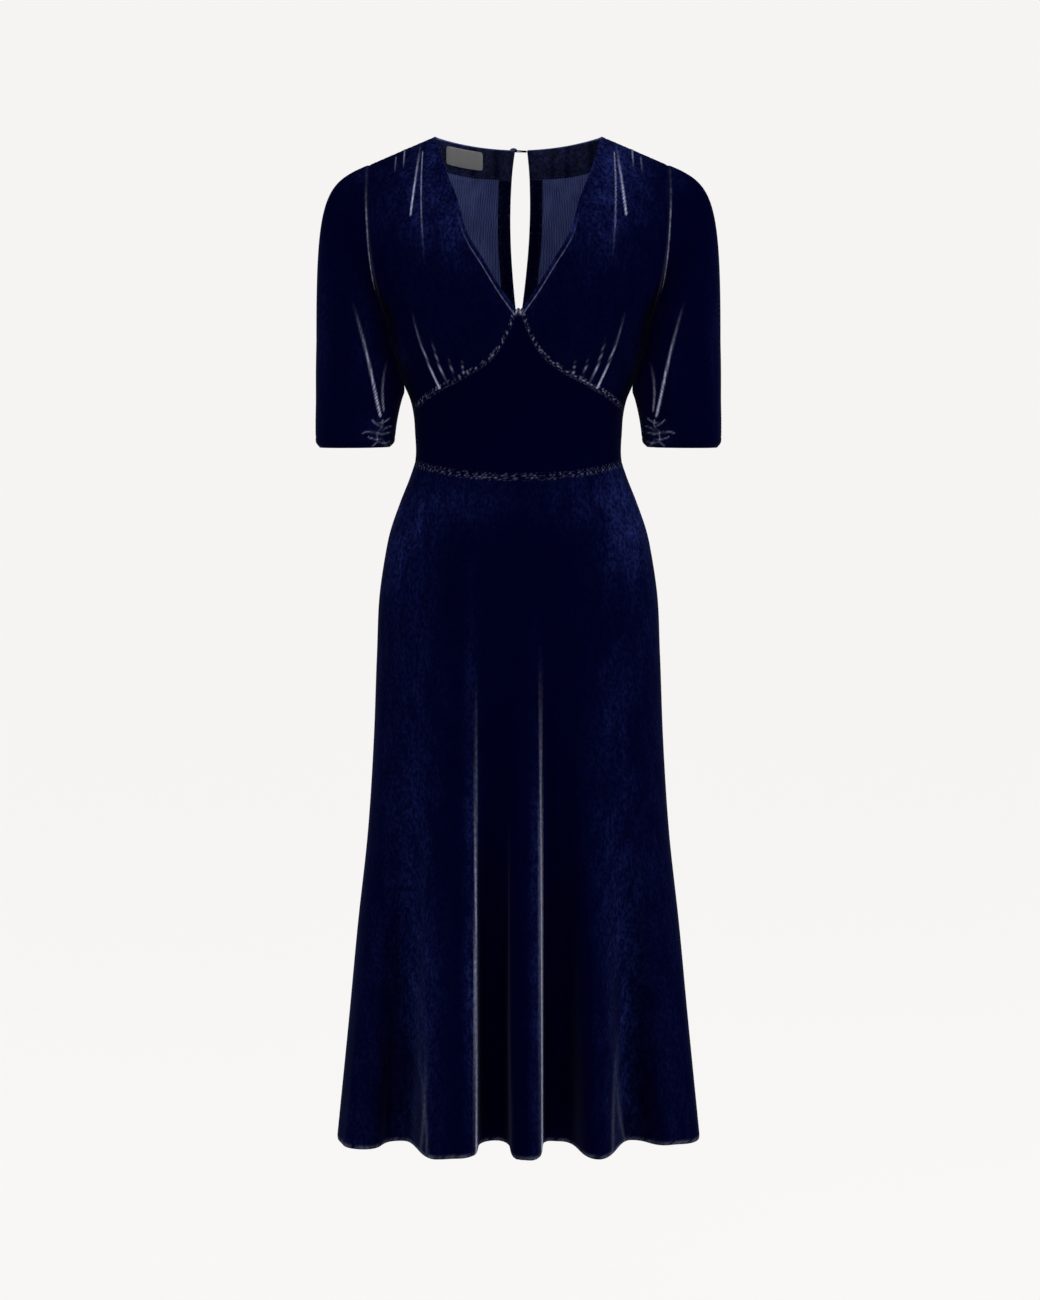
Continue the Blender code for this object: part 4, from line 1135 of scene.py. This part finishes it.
def sleeve_form(half_count, cap_rows, lower_rows):
    """Points of one sleeve, its rows from the armhole to the cuff."""
    front, front_normals = armhole_ring(False, half_count)
    back, back_normals = armhole_ring(True, half_count)
    ring = np.concatenate([front, back[-2:0:-1]])
    normals = np.concatenate([front_normals, back_normals[-2:0:-1]])
    count = len(ring)
    u = 2 * math.pi * np.arange(count) / count
    tangent = unit(np.roll(ring, -1, axis=0) - np.roll(ring, 1, axis=0))
    away = unit(np.cross(normals, tangent))
    lean = (QUARTER * np.sin(u / 2) ** 2.6)[:, None]
    along_rib = np.cos(lean) * away + np.sin(lean) * normals
    top_drop = SLEEVE[0].drop * MM
    end = clear_of_body(sleeve_ring(u, np.full(count, top_drop)), BODY_CLEARANCE)
    span = np.linalg.norm(end - ring, axis=-1, keepdims=True)
    high = ((1 + np.cos(u)) / 2)[:, None]
    first = ring + (UNDERARM_PULL + (CAP_RISE - UNDERARM_PULL) * high) * span * along_rib
    second = end + (UNDERARM_PULL + (CAP_FALL - UNDERARM_PULL) * high ** 1.5) * span * [0, 0, 1]
    f = np.linspace(0, 1, cap_rows + 1)[:, None, None]
    cap = (1 - f) ** 3 * ring + 3 * f * (1 - f) ** 2 * first + 3 * f * f * (1 - f) * second + f ** 3 * end
    cap[1:] = clear_of_body(cap[1:], BODY_CLEARANCE * f[1:, :, 0])
    drops = np.linspace(top_drop, SLEEVE[-1].drop * MM, lower_rows + 1)[1:, None]
    lower = clear_of_body(sleeve_ring(u[None], np.broadcast_to(drops, (lower_rows, count))), BODY_CLEARANCE)
    return np.concatenate([cap, lower])


def sleeve(name, side):
    """One set-in sleeve with its creases, its ruche and its turned cuff."""
    form = sleeve_form(SLEEVE_HALF_ROUND, CAP_ROWS, LOWER_ROWS)
    normals = grid_normals(form, around=True)
    near_cap, near_cuff, round_ring, _ = from_edges(form)
    form = form - normals * (CUFF_ROUNDING * np.exp(-((near_cuff / (4 * MM)) ** 2)))[..., None]
    x, drop = form[..., 0], -form[..., 2]
    ahead = np.clip(-normals[..., 1] * 1.6, 0, 1)
    relief = creases(SLEEVE_CREASES, x, drop) * ahead
    relief += creases(BACK_SLEEVE_CREASES, x, drop) * np.clip(normals[..., 1] * 1.6, 0, 1)
    relief += sewn(near_cap, round_ring, 1.5 + side, depth=1.1, pucker=0.5)
    ruche = bell(x, drop, 160, 344, 15, 20) * ahead
    relief += creases(RUCHE_CREASES, x, drop) * ahead
    relief += ruche * 0.7 * MM * ripple(drop + 0.35 * (x - 0.159), 7.5 * MM, 2.0 + side)
    relief += turned(near_cuff, round_ring, 2.4, hem=12.0)
    # Painted sheen glow over the ruche and in patches, over a faint even tint.
    leaning = 0.02 + 0.5 * ruche + patches(SLEEVE_SHEEN_GLOWS, x, drop)
    # Painted highlights on the crests of the front creases and the ruche, and an uneven line along the
    # armhole seam where the cap faces forward.
    shine = crest_highlights(SLEEVE_CREASES, x, drop) * ahead + 0.3 * crest_highlights(RUCHE_CREASES, x, drop) * ahead
    facing = np.clip(0.25 - normals[..., 1] * 1.6, 0, 1)
    uneven_line = 0.7 + 0.3 * ripple(round_ring, 14 * MM, side)
    shine = shine + 0.4 * facing * glint(near_cap, 1.2, 0.6) * uneven_line
    piece = cloth(name, mirrored(form, side), relief, mirrored(normals, side), around=True)
    dress(piece, form, leaning, shine)
    return piece


for side, word in SIDES:
    sleeve(f"fine_sleeve_{word}", side)

# %% [markdown]
# ## The skirt
#
# A flared panel hangs straight from the hips and the spare width falls into flutes. The
# table says where each flute and hollow stands along the hem, where down the skirt it
# begins and how steep the flank after it is. Between two rows the cloth follows half a cosine
# wave. On a steep flank its points are pulled towards the middle, so that a deep one turns
# almost edge-on and shows a long bright thread of sheen, which a painted highlight along its
# crest makes brighter.

# %% Skirt form
STEEP, SOFT, ROUND = 0.85, 0.35, 0.05           # how far a flank's points slide to its middle
Fold = namedtuple("Fold", "place out start flank", defaults=(STEEP,))
FRONT_FOLDS = [
    Fold(-212, 0, 700),
    Fold(-184, 12, 800),
    Fold(-139, -40, 690, ROUND),
    Fold(-92, 42, 650),
    Fold(-68, 38, 640),
    Fold(-26, -46, 620),
    Fold(4, 44, 600),
    Fold(15, 46, 580),
    Fold(37, -44, 590),
    Fold(48, -42, 620, SOFT),
    Fold(90, 42, 680, ROUND),
    Fold(136, -44, 700, SOFT),
    Fold(179, -10, 800),
    Fold(212, 0, 700),
]
BACK_FOLDS = [
    Fold(-212, 0, 700),
    Fold(-181, 6, 790),
    Fold(-134, -42, 700),
    Fold(-88, 46, 640),
    Fold(-44, -40, 650),
    Fold(-6, 44, 610),
    Fold(12, 40, 620),
    Fold(52, -44, 660),
    Fold(98, 40, 690),
    Fold(143, -36, 720),
    Fold(184, 8, 800),
    Fold(212, 0, 700),
]
FOLD_GROWTH = 1.35


def fold_offsets(folds, place, drop):
    """How far folds carry the skirt out, and sideways so that deep flanks turn steep."""
    places, outs, starts = (column(folds, name) for name in ("place", "out", "start"))
    flanks = column(folds, "flank", 1)
    i = np.clip(np.searchsorted(places, place) - 1, 0, len(folds) - 2)
    span = places[i + 1] - places[i]
    f = np.clip((place - places[i]) / span, 0, 1)

    def grown(k):
        return outs[k] * np.clip((drop - starts[k]) / (HEM_DROP - starts[k]), 0, 1) ** FOLD_GROWTH

    here, there = grown(i), grown(i + 1)
    steepness = flanks[i] * np.clip(np.abs(there - here) / span, 0, 1)
    slide = span * steepness * np.sin(2 * math.pi * f) / (2 * math.pi)
    return here + (there - here) * (1 - np.cos(math.pi * f)) / 2, slide


def skirt_point(t, drop):
    """Point of the skirt: the form's ring, flared so that folds hang nearly plumb."""
    t, drop = np.broadcast_arrays(np.asarray(t, float), np.asarray(drop, float))
    half_width, front, back, squareness = sections(drop)
    ahead = np.cos(t) >= 0
    hem_share = signed_power(np.sin(t), 2 / RING_POWER)
    flare = half_width / HEM_HALF_WIDTH
    share = hem_share * (1 - np.abs(hem_share) * (1 - flare)) / flare
    profile = superellipse(share, squareness)
    facing = np.where(ahead, -1.0, 1.0)
    depth = np.where(ahead, front, back)
    x = half_width * share
    y = facing * depth * profile
    out_x = signed_power(share, squareness - 1) / half_width
    out_y = facing * profile ** (squareness - 1) / depth
    length = np.hypot(out_x, out_y)
    out_x, out_y = out_x / length, out_y / length
    place = hem_share * HEM_HALF_WIDTH
    front_out, front_slide = fold_offsets(FRONT_FOLDS, place, drop)
    back_out, back_slide = fold_offsets(BACK_FOLDS, place, drop)
    out = np.where(ahead, front_out, back_out)
    slide = np.where(ahead, front_slide, back_slide)
    return np.stack([x + out_x * out + np.abs(out_y) * slide,
                     y + out_y * out - facing * out_x * slide, -drop], axis=-1)


def skirt_top(t):
    """Drop of the skirt's top edge, found where it lies on the waist seam's own curve.

    The skirt spreads its points otherwise than the bodice does, so the seam is followed by
    the share of the width: cos(t)^2 of the bodice is 1 - share^RING_POWER.
    """
    dip = np.where(np.cos(t) >= 0, WAIST_DIP_FRONT, WAIST_DIP_BACK)
    drop = np.full(np.shape(t), WAIST_SIDE)
    for _ in range(4):
        share = np.abs(skirt_point(t, drop)[..., 0]) / sections(drop)[0]
        drop = WAIST_SIDE + dip * (1 - np.clip(share, 0, 1) ** RING_POWER)
    return drop


# %% Skirt panels
SKIRT_COLUMNS, SKIRT_ROWS = 270, 150
FRONT_SKIRT_CREASES = [
    Crease(26, 1180, 25, 560, 0, 2.6, 1.7),
    Crease(-49, 1180, -48.5, 600, 0, 2.6, 1.4),
    Crease(-112, 1166, -106, 1000, 3, 5.0, 0.08),
    Crease(-104, 1160, -118, 1040, 3, 5.0, 0.08),
    Crease(-10, 1166, -9, 1010, 0, 4.0, -1.4),
    Crease(108, 1166, 118, 1010, -3, 5.0, 0.08),
    Crease(122, 1160, 112, 1050, -3, 5.0, 0.08),
]
# Painted sheen glows where the skirt turns away: on the hips, down the outer flanks of the side flutes, and
# beside the two painted crest highlights.
HIP_SHEEN_GLOWS = [
    Patch(128, 440, 30, 66, 0.85),
    Patch(70, 420, 60, 30, 0.28),
]
FLANK_SHEEN_GLOWS = [
    Patch(118, 1060, 24, 170, 0.75),
    Patch(112, 760, 26, 200, 0.35),
]
CREST_SHEEN_GLOWS = [                       # beside the two shining crests
    Patch(-54, 900, 7, 260, 0.7),
    Patch(20, 1000, 6, 260, 0.55),
]
BACK_SKIRT_CREASES = [
    Crease(30, 1180, 27, 660, 0, 4.0, 1.6),
    Crease(-66, 1180, -60, 690, 0, 4.0, 1.4),
    Crease(120, 1166, 112, 900, -3, 6.0, 0.5),
    Crease(112, 470, 100, 560, -4, 9.0, 0.1),
]


def skirt(name, table, behind, seed):
    """One flared skirt panel, from side seam to side seam and from the waist to the hem."""
    turns = np.linspace(-QUARTER, QUARTER, SKIRT_COLUMNS + 1)
    t = math.pi - turns if behind else turns
    v = crowded(SKIRT_ROWS + 1, 0.8)[:, None]
    waist = skirt_top(t)
    drop = waist + (HEM_DROP - waist) * v
    t = np.broadcast_to(t[None], drop.shape)
    form = skirt_point(t, drop)
    normals = normals_of(skirt_point, t, drop)
    for edge in (0, -1):
        normals[:, edge] = on_plane(normals[:, edge], 1)
    near_waist, near_hem, left, right = from_edges(form)
    x = form[..., 0]
    relief = creases(table, x, drop)
    fullness = np.exp(-near_waist / (16 * MM)) * (1 - np.exp(-near_waist / (2 * MM)))
    relief += fullness * 0.6 * MM * ripple(left, 9 * MM, seed)
    relief += sewn(near_waist, left, 1.1 + seed)
    relief += sewn(left, near_waist, 2.2 + seed, depth=1.0, pucker=0.15)
    relief += sewn(right, near_waist, 3.3 + seed, depth=1.0, pucker=0.15)
    relief += turned(near_hem, left, 0.6 + seed, hem=22.0, depth=0.25)
    # Painted sheen glow: stronger towards the skirt's sides, on the hips, in streaks down the outer flanks
    # and beside the crests, over a faint even tint.
    sides = np.clip((np.abs(x) - 0.09) / 0.08, 0, 1)
    wide = np.abs(x)
    sheen_streaks = 0.75 + 0.35 * ripple(wide + 0.45 * drop + 0.0004 / (wide + 0.05), 17 * MM, seed)
    leaning = 0.02 + 0.16 * sides + patches(HIP_SHEEN_GLOWS, wide, drop)
    leaning = leaning + sheen_streaks * patches(FLANK_SHEEN_GLOWS, wide, drop) + patches(CREST_SHEEN_GLOWS, x, drop)
    # Painted highlights: flecks at the waist seam, the crests' long bright lines, and an uneven line along
    # the hem.
    shine = 0.55 * seam_highlight_flecks(near_waist, left, 3.0 + seed) + crest_highlights(table, x, drop)
    shine = shine + 0.12 * glint(near_hem, 2.0, 2.0) * (0.5 + 0.5 * ripple(left, 20 * MM, seed))
    piece = cloth(name, form, relief, normals)
    dress(piece, form, leaning, shine)
    return piece


skirt("fine_skirt_front", FRONT_SKIRT_CREASES, False, 0.3)
skirt("fine_skirt_back", BACK_SKIRT_CREASES, True, 1.9)

# %% [markdown]
# ## Button and loop
#
# The button is a small dome covered with the same velvet, its cover drawn round a rim and
# sunk a little in the middle. The loop is a fine cord that runs from the other edge of the
# keyhole round the button's shank and back.

# %% Button and loop
BUTTON_PLACE = Place(-5.4, 13.2)
Turn = namedtuple("Turn", "radius out")
BUTTON_PROFILE = [
    Turn(0.05, 0.2),
    Turn(1.0, 0.2),
    Turn(1.0, 2.2),
    Turn(3.0, 2.4),
    Turn(4.1, 3.0),
    Turn(4.45, 3.9),
    Turn(4.1, 4.9),
    Turn(3.3, 5.7),
    Turn(2.6, 5.6),
    Turn(1.9, 5.1),
    Turn(0.05, 5.0),
]
LOOP_RADIUS = 0.65 * MM
LOOP_LEGS = 1.0 * MM
LOOP_BEND = 0.72 * math.pi
LOOP_OUT = 1.45 * MM            # the cord's middle stands this far off the back at the button
LOOP_FALL = 1.2 * MM
SHANK_RADIUS = 1.0 * MM
SHANK_CLEARANCE = 0.3 * MM


def turned_solid(name, rings):
    """A closed surface over a row of rings, with a fan at each end, smooth shaded."""
    count, sides = rings.shape[:2]
    index = np.arange(count * sides).reshape(count, sides)
    index = np.concatenate([index, index[:, :1]], axis=1)
    quads = np.stack([index[:-1, :-1], index[:-1, 1:], index[1:, 1:], index[1:, :-1]], axis=-1)
    faces = quads.reshape(-1, 4).tolist()
    faces.append(index[0, :-1][::-1].tolist())
    faces.append(index[-1, :-1].tolist())
    mesh = bpy.data.meshes.new(name)
    mesh.from_pydata(rings.reshape(-1, 3), [], faces)
    mesh.shade_smooth()
    piece = bpy.data.objects.new(name, mesh)
    bpy.context.scene.collection.objects.link(piece)
    return piece


def clasp_frame():
    """Place on the back's edge where the button sits, and its outward and sideways units."""
    across, drop = BUTTON_PLACE.across * MM, BUTTON_PLACE.drop * MM
    t = turn_at(across, drop, True)
    outward = normals_of(body_point, np.array(t), np.array(drop))
    sideways = unit(np.cross(outward, [0, 0, 1.0]))
    return body_point(t, drop), outward, sideways, np.cross(sideways, outward)


def button(name):
    """The covered button: its profile smoothed and turned round its axis."""
    foot, outward, sideways, upward = clasp_frame()
    knots = np.arange(len(BUTTON_PROFILE), dtype=float)
    at = np.linspace(0, knots[-1], 61)
    radius = smooth(at, knots, column(BUTTON_PROFILE, "radius"))
    out = smooth(at, knots, column(BUTTON_PROFILE, "out"))
    turn = 2 * math.pi * np.arange(64) / 64
    gathers = 1 + 0.02 * np.sin(9 * turn)[None] * np.clip((out[:, None] - 3 * MM) / MM, 0, 1)
    round_axis = np.cos(turn)[:, None] * sideways + np.sin(turn)[:, None] * upward
    rings = foot + (radius[:, None] * gathers)[..., None] * round_axis + out[:, None, None] * outward
    piece = turned_solid(name, rings)
    piece.data.materials.append(velvet)
    # Lighter blue and a little painted highlight, even over the whole button.
    paint(piece, "leaning", np.full(len(piece.data.vertices), 0.7))
    paint(piece, "shine", np.full(len(piece.data.vertices), 0.12))
    return piece


def button_loop(name):
    """The loop: a fine cord whose two legs part round the button's shank."""
    foot, outward, sideways, upward = clasp_frame()
    sideways = sideways * np.sign(sideways[0])
    eye = SHANK_RADIUS + SHANK_CLEARANCE + LOOP_RADIUS
    far_edge = keyhole_edge(np.array(BUTTON_PLACE.drop * MM), 1)
    reach = (far_edge - BUTTON_PLACE.across * MM) - LOOP_RADIUS
    leg = [(reach, LOOP_LEGS), (reach * 0.7, LOOP_LEGS), (reach * 0.42, 1.2 * MM)]
    bend = np.linspace(-LOOP_BEND, LOOP_BEND, 25)
    eye_path = [(-eye * math.cos(b), eye * math.sin(b)) for b in bend]
    path = np.array([(x, -y) for x, y in leg] + eye_path + leg[::-1])
    fall = LOOP_FALL * np.clip(path[:, :1] / reach, 0, 1)
    centre = foot + (LOOP_OUT - fall) * outward + path[:, :1] * sideways + path[:, 1:] * upward
    tangent = unit(np.gradient(centre, axis=0))
    across = unit(np.cross(tangent, outward))
    turn = 2 * math.pi * np.arange(16) / 16
    ring = np.cos(turn)[None, :, None] * across[:, None] + np.sin(turn)[None, :, None] * outward
    piece = turned_solid(name, centre[:, None] + LOOP_RADIUS * ring)
    piece.data.materials.append(velvet)
    # Lighter blue, even over the whole cord.
    paint(piece, "leaning", np.full(len(piece.data.vertices), 0.4))
    return piece


fine_button = button("fine_button")
fine_loop = button_loop("fine_button_loop")

# %% [markdown]
# ## Hand the pieces to the frame
#
# Every fine piece takes the place of its plain wall, and rides the dress's one body. The
# table also lists the cut that each piece is sewn from: its width and length when laid flat,
# how it is held and its area, but only the wall's name is read here.

# %% Replace and hand over
Cut = namedtuple("Cut", "node flat held area")
CUTS = {
    "fine_skirt_front": Cut("skirt_front", (1.00, 0.80), "hung", 0.44),
    "fine_skirt_back": Cut("skirt_back", (1.00, 0.80), "hung", 0.44),
    "fine_bodice_front_left": Cut("bodice_front_left", (0.26, 0.36), "gathered", 0.055),
    "fine_bodice_front_right": Cut("bodice_front_right", (0.26, 0.36), "gathered", 0.055),
    "fine_bodice_back_left": Cut("bodice_back_left", (0.24, 0.40), "draped", 0.072),
    "fine_bodice_back_right": Cut("bodice_back_right", (0.24, 0.40), "draped", 0.072),
    "fine_midriff_front": Cut("midriff_front", (0.34, 0.20), "draped", 0.036),
    "fine_sleeve_left": Cut("sleeve_left", (0.36, 0.36), "hung", 0.088),
    "fine_sleeve_right": Cut("sleeve_right", (0.36, 0.36), "hung", 0.088),
    "fine_neck_facing_left": Cut("neck_facing_left", (0.135, 0.045), "laid", 0.005),
    "fine_neck_facing_right": Cut("neck_facing_right", (0.135, 0.045), "laid", 0.005),
    "fine_keyhole_facing_left": Cut("keyhole_facing_left", (0.016, 0.195), "laid", None),
    "fine_keyhole_facing_right": Cut("keyhole_facing_right", (0.016, 0.195), "laid", None),
    "fine_label": Cut("label", (0.043, 0.024), "laid", None),
}

for name, cut in CUTS.items():
    piece = bpy.data.objects[name]
    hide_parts(cut.node)
    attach(piece, "root")
for piece, node in ((fine_button, "button"), (fine_loop, "button_loop")):
    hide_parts(node)
    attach(piece, "root")
total = sum(len(o.data.loop_triangles) or 2 * len(o.data.polygons)
            for o in bpy.data.objects if o.type == "MESH" and o.name.startswith("fine_"))
print("triangles in all the fine pieces:", total)

# %% [markdown]
# ## Light and stage
#
# A dark dress needs a pale room: soft light from both sides rakes along the flanks of the
# folds, where the pile shines, and a pale floor and world keep the outline clean. Standard
# colour handling keeps the near-black navy from turning grey.

# %% Light and stage
ROOM_COLOUR = (0.915, 0.905, 0.895, 1)
FLOOR_HALF = 40.0
FLOOR_HEIGHT = -1.5
FLOOR_GLOW = 0.90
DRESS_MIDDLE = (0, 0, -0.6)
Lamp = namedtuple("Lamp", "name place size power colour")
LAMPS = [
    Lamp("key from +X", (2.6, -1.2, 0.6), (1.2, 2.2), 60, (1.0, 0.99, 0.97)),
    Lamp("fill from -X", (-2.6, -1.4, 0.3), (1.4, 2.4), 35, (0.96, 0.98, 1.0)),
    Lamp("front", (0.4, -3.9, 1.1), (2.4, 1.6), 30, (1.0, 1.0, 1.0)),
]

scene = bpy.context.scene
scene.view_settings.view_transform = "Standard"
world = bpy.data.worlds.new("room")
world.use_nodes = True
world.node_tree.nodes["Background"].inputs["Color"].default_value = ROOM_COLOUR
world.node_tree.nodes["Background"].inputs["Strength"].default_value = 1.0
scene.world = world


def light_up(lamp):
    """A soft rectangular light from the table, turned to the middle of the dress."""
    data = bpy.data.lights.new(lamp.name, "AREA")
    data.shape = "RECTANGLE"
    data.size, data.size_y = lamp.size
    data.energy = lamp.power
    data.color = lamp.colour
    light = bpy.data.objects.new(lamp.name, data)
    light.location = lamp.place
    direction = np.array(DRESS_MIDDLE) - np.array(lamp.place)
    yaw = math.atan2(direction[1], direction[0]) - QUARTER
    pitch = QUARTER + math.atan2(direction[2], math.hypot(direction[0], direction[1]))
    light.rotation_euler = (pitch, 0, yaw)
    scene.collection.objects.link(light)


for lamp in LAMPS:
    light_up(lamp)

floor_material = bpy.data.materials.new("floor")
floor_material.use_nodes = True
floor_shader = floor_material.node_tree.nodes["Principled BSDF"]
floor_shader.inputs["Base Color"].default_value = (0.10, 0.10, 0.10, 1)
floor_shader.inputs["Emission Color"].default_value = ROOM_COLOUR
floor_shader.inputs["Emission Strength"].default_value = FLOOR_GLOW
floor_shader.inputs["Roughness"].default_value = 1.0
floor_shader.inputs["Specular IOR Level"].default_value = 0.0
floor_mesh = bpy.data.meshes.new("floor")
corners = [(x * FLOOR_HALF, y * FLOOR_HALF, FLOOR_HEIGHT) for x, y in ((-1, -1), (1, -1), (1, 1), (-1, 1))]
floor_mesh.from_pydata(corners, [], [(0, 1, 2, 3)])
floor_mesh.materials.append(floor_material)
floor = bpy.data.objects.new("floor", floor_mesh)
scene.collection.objects.link(floor)
